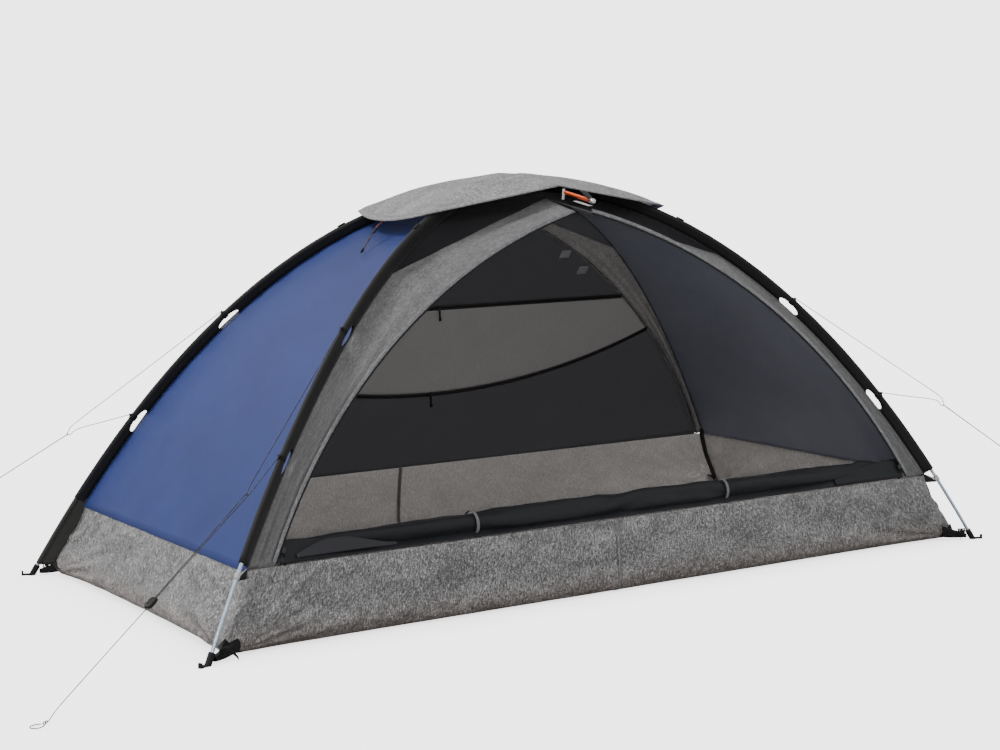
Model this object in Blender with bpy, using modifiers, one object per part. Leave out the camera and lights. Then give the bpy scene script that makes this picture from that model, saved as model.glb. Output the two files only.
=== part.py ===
"""Two-person dome tent, pitched, with its front door rolled down on the sill.

Metres, +Z up. The origin is on the ground under the crossing of the poles, +X runs along the sleeping
length and -Y looks out of the front door. Everything that repeats at the four corners is modelled in a
corner frame (X outwards along the diagonal, Y across it, Z up) and turned into place about Z.
"""

import math

import bmesh
import bpy
from mathutils import Matrix, Vector

# ---- Driving dimensions -------------------------------------------------------------------------
POLE_HALF_LENGTH_SPAN = 1.150  # from the centre to a pole tip, along X
POLE_HALF_WIDTH_SPAN = 0.547  # from the centre to a pole tip, along Y
POLE_HEIGHT = 1.000  # centre of the lower pole at the crossing
POLE_QUARTIC = 0.10  # how much of the arch is fourth power; the rest is a parabola
POLE_RADIUS = 0.00435
POLE_CROSSING_RISE = 0.010  # the upper pole rides this much over the lower one
TIP_SEGMENT_LENGTH = 0.43
SEGMENT_GAP = 0.0008

FABRIC = 0.0016  # thickness of every fabric solid
SLEEVE_RADIUS = 0.0085
SLEEVE_BORE = 0.0068
SLEEVE_DEPTH = 0.0215  # from the pole's centre down to the sleeve's seam
SLEEVE_TOP, SLEEVE_BOTTOM = 0.045, 0.903  # places along a pole arm: 0 at the crossing, 1 on the ground
CUTOUTS = (0.595, 0.785)  # guying cut-outs in the sleeve's web
CANOPY_DROP = 0.0240  # the canopy's seams hang this far inside the pole's centre
CANOPY_TOP, CANOPY_BOTTOM = 0.035, 0.903
EDGE_GAP = 0.002  # between panels that are sewn to each other

WALL_TOP = 0.1826  # height of the waterproof walls
WALL_TOP_HALF = (1.0227, 0.4891)
DOOR_LEAN = 0.227  # the door planes lean in by this much for each metre of height
DOOR_CENTRE = (0.364, -0.656)  # centre of a door edge's arc, past the middle, in the door plane
FRONT_EDGE_RADIUS = 1.475
REAR_EDGE_RADIUS = 1.510
PEAK_HALF_WIDTH = 0.020
BAND_LEAVES_POLE = 0.445  # above this place on the arm a black vent panel fills up to the cap
BAND_PEAK = (0.148, 0.962)  # distance from the middle and height of the bands' upper edge at the peak
ZIP_CURVE_RADIUS, ZIP_CURVE_HEIGHT = 1.95, 0.393
WINDOW_SILL_HEIGHT = 0.643
WINDOW_CORNER = 0.035

CAP_LIFT = 0.022
CAP_CORNER = 0.335
CAP_TAB = 0.030
CAP_BEAK = (0.226, 0.991)

STRUT_PIVOT = (0.245, 0.978)
STRUT_END = (0.356, 0.960)
STRUT_RADIUS = 0.0048
STRUT_RISES = {"front": 0.0, "rear": 0.005}  # the rear door's peak stands higher than the front's

ROLL_CENTRE = (-0.452, 0.212)
ROLL_HALF_LENGTH = 0.905
ROLL_RADIUS, ROLL_END_RADIUS = 0.029, 0.016
TIE_PLACES = {"left": -0.420, "right": 0.335}
TIE_WIDTH = 0.012

STRAP_STATIONS = (  # outwards, half width, underside and top of the corner patch and its arm
    (1.1925, 0.022, 0.010, 0.054),
    (1.2050, 0.019, 0.009, 0.044),
    (1.2200, 0.011, 0.007, 0.026),
    (1.2530, 0.009, 0.005, 0.015),
)
LOCK_CENTRE = (1.236, 0.0126, 0.024)

CORD_RADIUS = 0.0010
GUYS = {  # in the corner frame: the bridle's junction (outwards, up), and how far out the line ends
    "fl": ((1.125, 0.350), 1.765),
    "bl": ((1.168, 0.368), 1.765),
    "fr": ((1.184, 0.376), 1.700),
    "br": ((1.142, 0.360), 1.640),
}
TENSIONER_PLACE = 0.365  # along the guyline from the junction

BLUE = (0.080, 0.120, 0.300)
LAMINATE = (0.300, 0.300, 0.300)
BLACK = (0.012, 0.012, 0.014)
MESH_BLACK = (0.010, 0.010, 0.012)
FLOOR_GREY = (0.170, 0.160, 0.150)
SILVER = (0.560, 0.620, 0.700)
ORANGE = (0.680, 0.115, 0.035)
CORD_GREY = (0.090, 0.090, 0.090)
TIE_GREY = (0.450, 0.450, 0.440)

DIAGONAL = math.hypot(POLE_HALF_LENGTH_SPAN, POLE_HALF_WIDTH_SPAN)
ALONG = POLE_HALF_LENGTH_SPAN / DIAGONAL
ACROSS = POLE_HALF_WIDTH_SPAN / DIAGONAL
SLANT = math.hypot(1.0, DOOR_LEAN)
CORNERS = {"fl": (-1, -1), "fr": (1, -1), "bl": (-1, 1), "br": (1, 1)}


# ---- Scene helpers ------------------------------------------------------------------------------
def clear_scene():
    for thing in list(bpy.data.objects):
        bpy.data.objects.remove(thing, do_unlink=True)


def new_collection(name):
    collection = bpy.data.collections.new(name)
    bpy.context.scene.collection.children.link(collection)
    return collection


def material(name, colour, roughness, metallic=0.0):
    made = bpy.data.materials.new(name)
    made.use_nodes = True
    shader = made.node_tree.nodes["Principled BSDF"]
    shader.inputs["Base Color"].default_value = (*colour, 1.0)
    shader.inputs["Roughness"].default_value = roughness
    shader.inputs["Metallic"].default_value = metallic
    made.diffuse_color = (*colour, 1.0)
    return made


def add_part(name, data, finish):
    """Link a mesh or curve as the sub-part of that name, with its own material."""
    thing = bpy.data.objects.new(name, data)
    data.materials.clear()
    data.materials.append(material(name, *finish))
    PARTS.objects.link(thing)
    return thing


def add_cutter(name, mesh):
    thing = bpy.data.objects.new(name, mesh)
    thing.hide_render = True
    thing.display_type = "WIRE"
    CUTTERS.objects.link(thing)
    return thing


def boolean(target, tool, operation):
    modifier = target.modifiers.new(operation.title(), "BOOLEAN")
    modifier.operation = operation
    modifier.object = tool
    modifier.solver = "EXACT"


def solidify(thing, thickness=FABRIC, offset=0.0):
    modifier = thing.modifiers.new("Thickness", "SOLIDIFY")
    modifier.thickness = thickness
    modifier.offset = offset


def corner_angle(corner):
    side_x, side_y = CORNERS[corner]
    return math.atan2(side_y * ACROSS, side_x * ALONG)


def turn_to_corner(thing, corner):
    thing.rotation_euler.z = corner_angle(corner)


def in_corner(spot, corner):
    """A corner-frame point in the world."""
    return Matrix.Rotation(corner_angle(corner), 3, "Z") @ spot


# ---- Mesh builders ------------------------------------------------------------------------------
def mesh_from(bm, name):
    bmesh.ops.recalc_face_normals(bm, faces=bm.faces)
    mesh = bpy.data.meshes.new(name)
    bm.to_mesh(mesh)
    bm.free()
    return mesh


def loft(name, rings, holes=None):
    """Skin closed rings of points, capped at both ends; holes are the inner rings of a hollow loft."""
    bm = bmesh.new()

    def skin(loops):
        made = [[bm.verts.new(point) for point in loop] for loop in loops]
        for low, high in zip(made, made[1:]):
            for i in range(len(low)):
                j = (i + 1) % len(low)
                bm.faces.new((low[i], low[j], high[j], high[i]))
        return made

    outer = skin(rings)
    if holes is None:
        bm.faces.new(outer[0])
        bm.faces.new(outer[-1])
        return mesh_from(bm, name)
    inner = skin(holes)
    for end in (0, -1):
        out_ring, in_ring = outer[end], inner[end]
        for i in range(len(out_ring)):
            j = (i + 1) % len(out_ring)
            bm.faces.new((out_ring[i], out_ring[j], in_ring[j], in_ring[i]))
    return mesh_from(bm, name)


def sheet(name, point, columns, rows):
    """An open grid of point(u, v), with u and v running from 0 to 1."""
    bm = bmesh.new()
    grid = [
        [bm.verts.new(point(i / columns, j / rows)) for i in range(columns + 1)]
        for j in range(rows + 1)
    ]
    for low, high in zip(grid, grid[1:]):
        for i in range(columns):
            bm.faces.new((low[i], low[i + 1], high[i + 1], high[i]))
    return mesh_from(bm, name)


def flat_face(name, outline):
    bm = bmesh.new()
    bm.faces.new([bm.verts.new(point) for point in outline])
    return mesh_from(bm, name)


def box(name, low, high):
    bm = bmesh.new()
    bmesh.ops.create_cube(bm, size=1.0)
    middle = (Vector(low) + Vector(high)) / 2
    size = Vector(high) - Vector(low)
    for vert in bm.verts:
        vert.co = middle + Vector(a * b for a, b in zip(vert.co, size))
    return mesh_from(bm, name)


def rod(name, start, end, radius, sides=12):
    """A solid cylinder from start to end."""
    start, end = Vector(start), Vector(end)
    bm = bmesh.new()
    bmesh.ops.create_cone(
        bm, cap_ends=True, segments=sides, radius1=radius, radius2=radius, depth=(end - start).length
    )
    turn = (end - start).to_track_quat("Z", "Y").to_matrix().to_4x4()
    turn.translation = (start + end) / 2
    bmesh.ops.transform(bm, matrix=turn, verts=bm.verts)
    return mesh_from(bm, name)


def tube(name, points, radius, finish):
    """A round tube along points, with filled caps."""
    curve = bpy.data.curves.new(name, "CURVE")
    curve.dimensions = "3D"
    curve.bevel_depth = radius
    curve.bevel_resolution = 2
    curve.use_fill_caps = True
    spline = curve.splines.new("POLY")
    spline.points.add(len(points) - 1)
    for slot, point in zip(spline.points, points):
        slot.co = (*point, 1.0)
    return add_part(name, curve, finish)


def smooth_route(points, steps):
    """Catmull-Rom curve through the points, with steps samples between neighbours."""
    points = [Vector(point) for point in points]
    ends = [2 * points[0] - points[1], *points, 2 * points[-1] - points[-2]]
    route = []
    for a, b, c, d in zip(ends, ends[1:], ends[2:], ends[3:]):
        for k in range(steps):
            t = k / steps
            route.append(
                0.5
                * (
                    2 * b
                    + (c - a) * t
                    + (2 * a - 5 * b + 4 * c - d) * t**2
                    + (3 * b - a - 3 * c + d) * t**3
                )
            )
    return [*route, points[-1]]


# ---- The pole's arch ----------------------------------------------------------------------------
def arm(place, offset=0.0, rise=0.0):
    """(outwards, up) on a pole arm; offset is measured outwards, at right angles to the pole."""
    parabola = 1.0 - POLE_QUARTIC
    height = (POLE_HEIGHT + rise) * (1.0 - parabola * place**2 - POLE_QUARTIC * place**4)
    slope = -(POLE_HEIGHT + rise) * (2 * parabola * place + 4 * POLE_QUARTIC * place**3) / DIAGONAL
    length = math.hypot(1.0, slope)
    return DIAGONAL * place - offset * slope / length, height + offset / length


def arm_lengths(rise, steps=200):
    """Length along the arch from the crossing to each of the steps along the arm."""
    lengths = [0.0]
    for k in range(steps):
        (r0, z0), (r1, z1) = arm(k / steps, rise=rise), arm((k + 1) / steps, rise=rise)
        lengths.append(lengths[-1] + math.hypot(r1 - r0, z1 - z0))
    return lengths


def place_at(distance, lengths):
    """The place on the arm at that distance from the crossing, measured along the pole."""
    sign, distance = math.copysign(1.0, distance), abs(distance)
    steps = len(lengths) - 1
    for k in range(steps):
        if lengths[k + 1] >= distance:
            share = (distance - lengths[k]) / (lengths[k + 1] - lengths[k])
            return sign * (k + share) / steps
    return sign


def pole_points(start, end, rise, lengths, count):
    """Points in the corner frame between two distances along the pole; negative is the far arm."""
    points = []
    for k in range(count + 1):
        place = place_at(start + (end - start) * k / count, lengths)
        out, up = arm(abs(place), rise=rise)
        points.append((math.copysign(out, place), 0.0, up))
    return points


def pole_rise(corner):
    """The front-left to back-right pole is the upper one."""
    return POLE_CROSSING_RISE if corner in ("fl", "br") else 0.0


# ---- Poles and their feet -----------------------------------------------------------------------
def make_poles():
    finish = (SILVER, 0.30, 1.0)
    for pole, corner in (("a", "fr"), ("b", "br")):
        rise = pole_rise(corner)
        lengths = arm_lengths(rise)
        end = lengths[-1] - 0.009
        joint = end - TIP_SEGMENT_LENGTH
        third = joint / 3
        cuts = [-end, -joint, -third, third, joint, end]
        for number, (low, high) in enumerate(zip(cuts, cuts[1:]), 1):
            pieces = max(4, round((high - low) / 0.09))
            points = pole_points(
                low + SEGMENT_GAP / 2, high - SEGMENT_GAP / 2, rise, lengths, pieces
            )
            segment = tube(f"pole_{pole}_segment_{number}", points, POLE_RADIUS, finish)
            turn_to_corner(segment, corner)


def make_feet():
    socket_radius, bore_radius = 0.0078, 0.0051
    socket_length, floor_thickness = 0.030, 0.006
    tip = Vector((DIAGONAL, 0.0, 0.0))
    out, up = arm(0.985)
    inwards = (Vector((out, 0.0, up)) - tip).normalized()
    below = add_cutter("cut_foot_ground", box("cut_foot_ground", (1.0, -0.1, -0.1), (1.5, 0.1, 0.0)))
    bore = rod("cut_foot_bore", tip + inwards * floor_thickness, tip + inwards * 0.06, bore_radius)
    bore = add_cutter("cut_foot_bore", bore)
    claw = box("foot_claw", (DIAGONAL - 0.006, -0.005, 0.0005), (DIAGONAL + 0.026, 0.005, 0.0045))
    hook = box("foot_hook", (DIAGONAL + 0.022, -0.005, 0.0030), (DIAGONAL + 0.026, 0.005, 0.0120))
    claw, hook = add_cutter("foot_claw", claw), add_cutter("foot_hook", hook)
    for corner in CORNERS:
        body = rod(
            "pole_foot", tip - inwards * 0.008, tip + inwards * socket_length, socket_radius, 14
        )
        foot = add_part(f"pole_foot_{corner}", body, (BLACK, 0.45))
        tools = [(claw, "UNION"), (hook, "UNION"), (bore, "DIFFERENCE"), (below, "DIFFERENCE")]
        for tool, operation in tools:
            own = add_cutter(f"{tool.name}_{corner}", tool.data)
            turn_to_corner(own, corner)
            boolean(foot, own, operation)
        turn_to_corner(foot, corner)
    for tool in (claw, hook, bore, below):
        bpy.data.objects.remove(tool)


# ---- Sleeves ------------------------------------------------------------------------------------
def sleeve_profile(radius, seam_depth, seam_half_width):
    """(outwards, across) points of a sleeve: round over the pole, closing down to its seam."""
    angles = [math.radians(a) for a in (-105, -70, -35, 0, 35, 70, 105)]
    return [(radius * math.cos(a), radius * math.sin(a)) for a in angles] + [
        (-seam_depth, seam_half_width),
        (-seam_depth, -seam_half_width),
    ]


def sleeve_ring(place, rise, profile):
    ring = []
    for outwards, across in profile:
        out, up = arm(place, outwards, rise)
        ring.append((out, across, up))
    return ring


def cutout_cutter(name, place, rise):
    """An oval prism through the sleeve's web, between the pole and the canopy's seam."""
    half_length, half_depth, web_centre, half_width = 0.034, 0.0095, -0.0165, 0.02
    middle = Vector((*arm(place, web_centre, rise), 0.0))
    ahead = Vector((*arm(place + 0.01, web_centre, rise), 0.0)) - middle
    along = ahead.normalized()
    outwards = Vector((-along.y, along.x, 0.0))
    rings = []
    for across in (-half_width, half_width):
        ring = []
        for k in range(16):
            angle = math.tau * k / 16
            spot = middle + along * half_length * math.cos(angle)
            spot += outwards * half_depth * math.sin(angle)
            ring.append((spot.x, across, spot.y))
        rings.append(ring)
    return add_cutter(name, loft(name, rings))


def make_sleeves():
    outer = sleeve_profile(SLEEVE_RADIUS, SLEEVE_DEPTH, 0.0010)
    inner = sleeve_profile(SLEEVE_BORE, 0.0130, 0.0020)
    stations = 15
    for corner in CORNERS:
        rise = pole_rise(corner)
        places = [
            SLEEVE_TOP + (SLEEVE_BOTTOM - SLEEVE_TOP) * k / (stations - 1) for k in range(stations)
        ]
        rings = [sleeve_ring(place, rise, outer) for place in places]
        holes = [sleeve_ring(place, rise, inner) for place in places]
        sleeve = add_part(f"sleeve_{corner}", loft("sleeve", rings, holes), (BLACK, 0.80))
        turn_to_corner(sleeve, corner)
        for number, place in enumerate(CUTOUTS, 1):
            cutter = cutout_cutter(f"cut_sleeve_{corner}_{number}", place, rise)
            turn_to_corner(cutter, corner)
            boolean(sleeve, cutter, "DIFFERENCE")


# ---- Canopy -------------------------------------------------------------------------------------
def seam(place, side_x, side_y, offset=-CANOPY_DROP):
    """World point of the canopy's corner seam beside a pole arm."""
    out, up = arm(place, offset)
    return Vector((side_x * ALONG * out, side_y * ACROSS * out, up))


def make_end_panels():
    for name, side_x in (("left", -1), ("right", 1)):

        def point(u, v):
            place = CANOPY_TOP + (CANOPY_BOTTOM - CANOPY_TOP) * v
            spot = seam(place, side_x, 1)
            spot.y = (spot.y - EDGE_GAP) * (2 * u - 1)
            return spot

        panel = add_part(f"end_panel_{name}", sheet("end_panel", point, 4, 13), (BLUE, 0.55))
        solidify(panel)


def door_point(x, rise, side_y):
    """World point in a door plane, at x and at a distance rise up the slope from the wall's top."""
    height = WALL_TOP + rise / SLANT
    return Vector((x, side_y * (WALL_TOP_HALF[1] - DOOR_LEAN * (height - WALL_TOP)), height))


def edge_span(radius):
    """First and last angle of a door edge's arc, from the wall's top to the peak."""
    first = math.asin(-DOOR_CENTRE[1] / radius)
    last = math.acos((DOOR_CENTRE[0] + PEAK_HALF_WIDTH) / radius)
    return first, last


def edge_xw(angle, radius):
    """Outward distance from the middle and rise up the slope, on a door edge's arc."""
    return radius * math.cos(angle) - DOOR_CENTRE[0], DOOR_CENTRE[1] + radius * math.sin(angle)


def make_bands(prefix, side_y, radius):
    """The laminate bands between the poles and the door's edge, up to the peak."""
    pole_share = 0.62
    first, last = edge_span(radius)
    lift = 0.003 / radius
    for name, side_x in (("left", -1), ("right", 1)):

        def outer(v):
            if v < pole_share:
                place = CANOPY_BOTTOM + (BAND_LEAVES_POLE - CANOPY_BOTTOM) * v / pole_share
                spot = seam(place, side_x, side_y)
                spot.x -= side_x * EDGE_GAP
                return spot
            leaves = seam(BAND_LEAVES_POLE, side_x, side_y)
            leaves.x -= side_x * EDGE_GAP
            peak = Vector((side_x * EDGE_GAP, side_y * BAND_PEAK[0], BAND_PEAK[1]))
            return leaves.lerp(peak, (v - pole_share) / (1 - pole_share))

        def inner(v):
            x, rise = edge_xw(first + lift + (last - first - lift) * v, radius)
            return door_point(side_x * x, rise, side_y)

        def point(u, v):
            return outer(v).lerp(inner(v), u)

        band = add_part(f"{prefix}_band_{name}", sheet("band", point, 2, 16), (LAMINATE, 0.45))
        solidify(band)


def make_vent(name, side_y):
    """The black panel under the cap, from the crossing down to the bands' upper edges."""
    low = BAND_LEAVES_POLE - 0.006

    def point(u, v):
        place = CANOPY_TOP + (low - CANOPY_TOP) * v
        side = 2 * u - 1
        pole = seam(place, math.copysign(1, side), side_y)
        pole.x -= math.copysign(EDGE_GAP, side)
        top = seam(CANOPY_TOP, 1, side_y)
        start = Vector((0.0, top.y, top.z))
        end = Vector((0.0, side_y * (BAND_PEAK[0] - 0.003), BAND_PEAK[1] + 0.003))
        return start.lerp(end, v).lerp(pole, abs(side))

    panel = add_part(name, sheet("vent", point, 6, 7), (MESH_BLACK, 0.85))
    solidify(panel)


def zip_rise(x):
    """Rise up the rear slope of the curved zip, at x."""
    start = (ZIP_CURVE_HEIGHT - WALL_TOP) * SLANT
    return start + ZIP_CURVE_RADIUS - math.sqrt(ZIP_CURVE_RADIUS**2 - x**2)


def crossing_angle(level):
    """Angle on the rear door's edge, inset by the seam gap, where it meets the curve level(x)."""
    radius = REAR_EDGE_RADIUS - 2 * EDGE_GAP
    low, high = edge_span(radius)
    for _ in range(40):
        middle = (low + high) / 2
        x, rise = edge_xw(middle, radius)
        low, high = (middle, high) if rise < level(x) else (low, middle)
    return low


def side_arc(start, end, count):
    radius = REAR_EDGE_RADIUS - 2 * EDGE_GAP
    return [edge_xw(start + (end - start) * k / count, radius) for k in range(count + 1)]


def mirrored_outline(right_side):
    """A closed outline from its right half, which runs from the bottom up."""
    left_side = [(-x, rise) for x, rise in reversed(right_side) if x > EDGE_GAP]
    return [door_point(x, rise, 1) for x, rise in right_side + left_side]


def make_rear_panels():
    half_zip = 0.0022
    first, last = edge_span(REAR_EDGE_RADIUS - 2 * EDGE_GAP)
    start_rise = 0.004
    window_rise = (WINDOW_SILL_HEIGHT - WALL_TOP) * SLANT

    def under_zip(x):
        return zip_rise(x) - half_zip

    def over_zip(x):
        return zip_rise(x) + half_zip

    meets = crossing_angle(under_zip)
    bottom = crossing_angle(lambda x: start_rise)
    right = side_arc(bottom, meets, 5)
    right += [(x, under_zip(x)) for x in (0.66, 0.50, 0.34, 0.17, 0.0)]
    lower = add_part("rear_lower_panel", flat_face("lower", mirrored_outline(right)), (BLACK, 0.70))
    solidify(lower)

    start = crossing_angle(over_zip)
    sill = window_rise - half_zip
    end = crossing_angle(lambda x: sill)
    right = [(x, over_zip(x)) for x in (0.0, 0.17, 0.34, 0.50, 0.66)]
    right += side_arc(start, end, 4)
    finish = (LAMINATE, 0.45)
    arch = add_part("rear_arch_panel", flat_face("arch", mirrored_outline(right)), finish)
    solidify(arch)

    sill = window_rise + half_zip
    first = crossing_angle(lambda x: sill + WINDOW_CORNER)
    corner_x, corner_rise = edge_xw(first, REAR_EDGE_RADIUS - 2 * EDGE_GAP)
    right = [(0.0, sill)]
    for k in range(4):
        angle = math.radians(30 * k)
        x = corner_x - WINDOW_CORNER * (1.0 - math.sin(angle))
        right.append((x, sill + WINDOW_CORNER * (1.0 - math.cos(angle))))
    right += side_arc(first, last, 9)[1:]
    face = flat_face("window", mirrored_outline(right))
    window = add_part("rear_window_mesh", face, (MESH_BLACK, 0.90))
    solidify(window)


# ---- Floor and walls ----------------------------------------------------------------------------
def make_bathtub():
    """Floor and waterproof walls in one piece, with the corners cut off for the corner patches."""
    corner_cut = 0.020
    rings = [
        (1.040, 0.462, 0.0),
        (1.066, 0.490, 0.005),
        (1.080, 0.505, 0.024),
        (1.070, 0.506, 0.060),
        (1.046, 0.500, 0.120),
        (*WALL_TOP_HALF, WALL_TOP),
    ]

    def ring_points(half_x, half_y, height):
        spots = []
        for side_x, side_y in ((1, 1), (-1, 1), (-1, -1), (1, -1)):
            along = (side_x * (half_x - corner_cut), side_y * half_y, height)
            beside = (side_x * half_x, side_y * (half_y - corner_cut), height)
            spots += [beside, along] if side_x * side_y > 0 else [along, beside]
        return spots

    bm = bmesh.new()
    loops = [[bm.verts.new(spot) for spot in ring_points(*ring)] for ring in rings]
    bm.faces.new(list(reversed(loops[0])))
    for low, high in zip(loops, loops[1:]):
        for i in range(len(low)):
            j = (i + 1) % len(low)
            bm.faces.new((low[i], low[j], high[j], high[i]))
    mesh = bpy.data.meshes.new("bathtub_floor")
    bm.to_mesh(mesh)
    bm.free()
    tub = add_part("bathtub_floor", mesh, (FLOOR_GREY, 0.50))
    solidify(tub, offset=-1.0)


# ---- Roof cap -----------------------------------------------------------------------------------
def make_cap():
    """The cap over the crossing: it lies on the poles and has a beak over each door."""
    corner_out, corner_up = arm(CAP_CORNER, CAP_LIFT)
    beak_reach = CAP_BEAK[0] - ACROSS * corner_out
    beak_rise = CAP_BEAK[1] - corner_up

    def point(u, v):
        a, b = 2 * u - 1, 2 * v - 1
        reach = max(abs(a), abs(b), 1e-6)
        out, up = arm(CAP_CORNER * reach, CAP_LIFT)
        out -= arm(0.0, CAP_LIFT)[0]
        x, y = ALONG * out * a / reach, ACROSS * out * b / reach
        if abs(a) >= abs(b):
            x += math.copysign(CAP_TAB * reach**2 * (1 - (b / reach) ** 2), a)
        else:
            share = reach**1.5 * (1 - abs(a) / reach)
            y += math.copysign(beak_reach * share, b)
            up += beak_rise * share
        return Vector((x, y, up))

    cap = add_part("roof_cap", sheet("roof_cap", point, 10, 10), (LAMINATE, 0.45))
    solidify(cap)


# ---- Vent struts --------------------------------------------------------------------------------
def make_struts():
    for name, side_y in (("front", -1), ("rear", 1)):
        start = (0.0, 0.0, 0.0)
        end = (0.0, side_y * (STRUT_END[0] - STRUT_PIVOT[0]), STRUT_END[1] - STRUT_PIVOT[1])
        strut = add_part(
            f"vent_strut_{name}", rod("vent_strut", start, end, STRUT_RADIUS, 12), (ORANGE, 0.35)
        )
        strut.location = (0.0, side_y * STRUT_PIVOT[0], STRUT_PIVOT[1] + STRUT_RISES[name])


# ---- Rolled door --------------------------------------------------------------------------------
def circle(centre_y, centre_z, radius, x, sides):
    return [
        (
            x,
            centre_y + radius * math.cos(math.tau * k / sides),
            centre_z + radius * math.sin(math.tau * k / sides),
        )
        for k in range(sides)
    ]


def make_door_roll():
    stations, sides = 15, 12
    rings = []
    for k in range(stations):
        share = 2 * k / (stations - 1) - 1
        radius = ROLL_END_RADIUS + (ROLL_RADIUS - ROLL_END_RADIUS) * (1 - abs(share) ** 4)
        rings.append(circle(*ROLL_CENTRE, radius, share * ROLL_HALF_LENGTH, sides))
    add_part("door_roll", loft("door_roll", rings), (MESH_BLACK, 0.85))


def make_ties():
    sides, clearance, thickness = 16, 0.0012, 0.0016
    for name, x in TIE_PLACES.items():
        inside = (ROLL_RADIUS + clearance) / math.cos(math.pi / sides)
        ends = (x - TIE_WIDTH / 2, x + TIE_WIDTH / 2)
        rings = [circle(*ROLL_CENTRE, inside + thickness, end, sides) for end in ends]
        holes = [circle(*ROLL_CENTRE, inside, end, sides) for end in ends]
        add_part(f"door_tie_{name}", loft("door_tie", rings, holes), (TIE_GREY, 0.75))


# ---- Zip sliders --------------------------------------------------------------------------------
def slider_mesh(along, out_of_plane, across):
    """A slider's body about its own centre, from its three unit directions, with its pull."""
    body = Vector((0.0065, 0.0030, 0.0042))
    rings = []
    for end, shrink in ((-1.0, 0.7), (-0.4, 1.0), (0.6, 1.0), (1.0, 0.8)):
        middle = along * (end * body.x)
        half_out, half_across = out_of_plane * body.y, across * body.z * shrink
        ring = [
            middle + half_out + half_across,
            middle + half_out - half_across,
            middle - half_out - half_across,
            middle - half_out + half_across,
        ]
        rings.append(ring)
    return loft("zip_slider", rings)


def make_sliders():
    radius = FRONT_EDGE_RADIUS - 0.0085
    angle = edge_span(FRONT_EDGE_RADIUS)[0] + math.radians(1.6)
    x, rise = edge_xw(angle, radius)
    hidden = (BLACK, 0.35)
    for name, side_x in (("left", -1), ("right", 1)):
        centre = door_point(side_x * x, rise, -1)
        ahead = door_point(side_x * (x - math.sin(angle)), rise + math.cos(angle), -1)
        along = (ahead - centre).normalized()
        out = Vector((0.0, -1.0, DOOR_LEAN)).normalized()
        mesh = slider_mesh(along, out, along.cross(out))
        slider = add_part(f"door_slider_{name}", mesh, hidden)
        slider.location = centre

    inside = Vector((0.0, -1.0, -DOOR_LEAN)).normalized()
    up_slope = Vector((0.0, -DOOR_LEAN, 1.0)).normalized()
    stand_off = 0.0052
    places = {"rear_zip_slider": zip_rise(0.0), "window_slider": (WINDOW_SILL_HEIGHT - WALL_TOP) * SLANT}
    for name, rise in places.items():
        mesh = slider_mesh(Vector((1.0, 0.0, 0.0)), inside, up_slope)
        slider = add_part(name, mesh, hidden)
        slider.location = door_point(0.0, rise, 1) + inside * stand_off


# ---- Corner hardware ----------------------------------------------------------------------------
def make_corner_straps():
    for corner in CORNERS:
        rings = [
            [
                (out, -half, low),
                (out, half, low),
                (out, half * 0.8, high),
                (out, -half * 0.8, high),
            ]
            for out, half, low, high in STRAP_STATIONS
        ]
        strap = add_part(f"corner_strap_{corner}", loft("corner_strap", rings), (BLACK, 0.75))
        turn_to_corner(strap, corner)


def make_ladder_locks():
    """Strap adjusters: a frame with two slots, hung on the outer side of each corner strap."""
    for corner, (side_x, side_y) in CORNERS.items():
        handed = side_x * side_y
        out, across, up = LOCK_CENTRE
        frame = box("ladder_lock", (-0.010, -0.0016, -0.009), (0.010, 0.0016, 0.009))
        lock = add_part(f"ladder_lock_{corner}", frame, (BLACK, 0.40))
        lock.location = in_corner(Vector((out, handed * across, up)), corner)
        turn_to_corner(lock, corner)
        for number, slot in enumerate((-0.0048, 0.0048), 1):
            name = f"cut_lock_{corner}_{number}"
            low, high = (slot - 0.0022, -0.01, -0.0062), (slot + 0.0022, 0.01, 0.0062)
            cutter = add_cutter(name, box(name, low, high))
            cutter.location = lock.location
            turn_to_corner(cutter, corner)
            boolean(lock, cutter, "DIFFERENCE")


# ---- Guylines -----------------------------------------------------------------------------------
# Distance down the line from the junction, and distance to its side. The line is doubled from the
# junction to the tensioner, hooks round the bridle, and runs single to the ground.
LINE_ROUTE = (
    (0.3700, -0.0017),
    (0.2500, -0.0022),
    (0.1200, -0.0030),
    (0.0300, -0.0041),
    (0.0070, -0.0045),
    (0.0012, -0.0034),
    (-0.0013, 0.0000),
    (0.0012, 0.0034),
    (0.0070, 0.0045),
    (0.0300, 0.0041),
    (0.1200, 0.0030),
    (0.2500, 0.0022),
    (0.3650, 0.0017),
)
# The same for its single stretch, as shares of the whole line's length.
SINGLE_ROUTE = ((0.64, 0.0008), (0.79, 0.0000), (0.93, 0.0000))
# The peg loop on the ground, from the line's end: outwards, across, up.
LOOP_ROUTE = (
    (-0.0170, 0.0000, 0.0046),
    (-0.0030, 0.0025, 0.0014),
    (0.0090, 0.0105, 0.0013),
    (0.0230, 0.0110, 0.0013),
    (0.0310, 0.0000, 0.0013),
    (0.0230, -0.0110, 0.0013),
    (0.0090, -0.0105, 0.0013),
    (0.0005, -0.0035, 0.0016),
)
# The bridle's two legs near the junction: distance down the line, and distance above or below it.
BRIDLE_TURN = (
    (-0.0300, 0.0135),
    (-0.0080, 0.0060),
    (-0.0012, 0.0036),
    (0.0013, 0.0000),
    (-0.0012, -0.0034),
    (-0.0070, -0.0043),
    (-0.0300, -0.0030),
)


def guy_frame(corner):
    """Junction, length, and the directions down the line, across it and up from it."""
    (out, up), ground = GUYS[corner]
    junction = Vector((out, 0.0, up))
    line = Vector((ground, 0.0, 0.0)) - junction
    down = line.normalized()
    return junction, line.length, down, Vector((0.0, 1.0, 0.0)), Vector((-down.z, 0.0, down.x))


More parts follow.
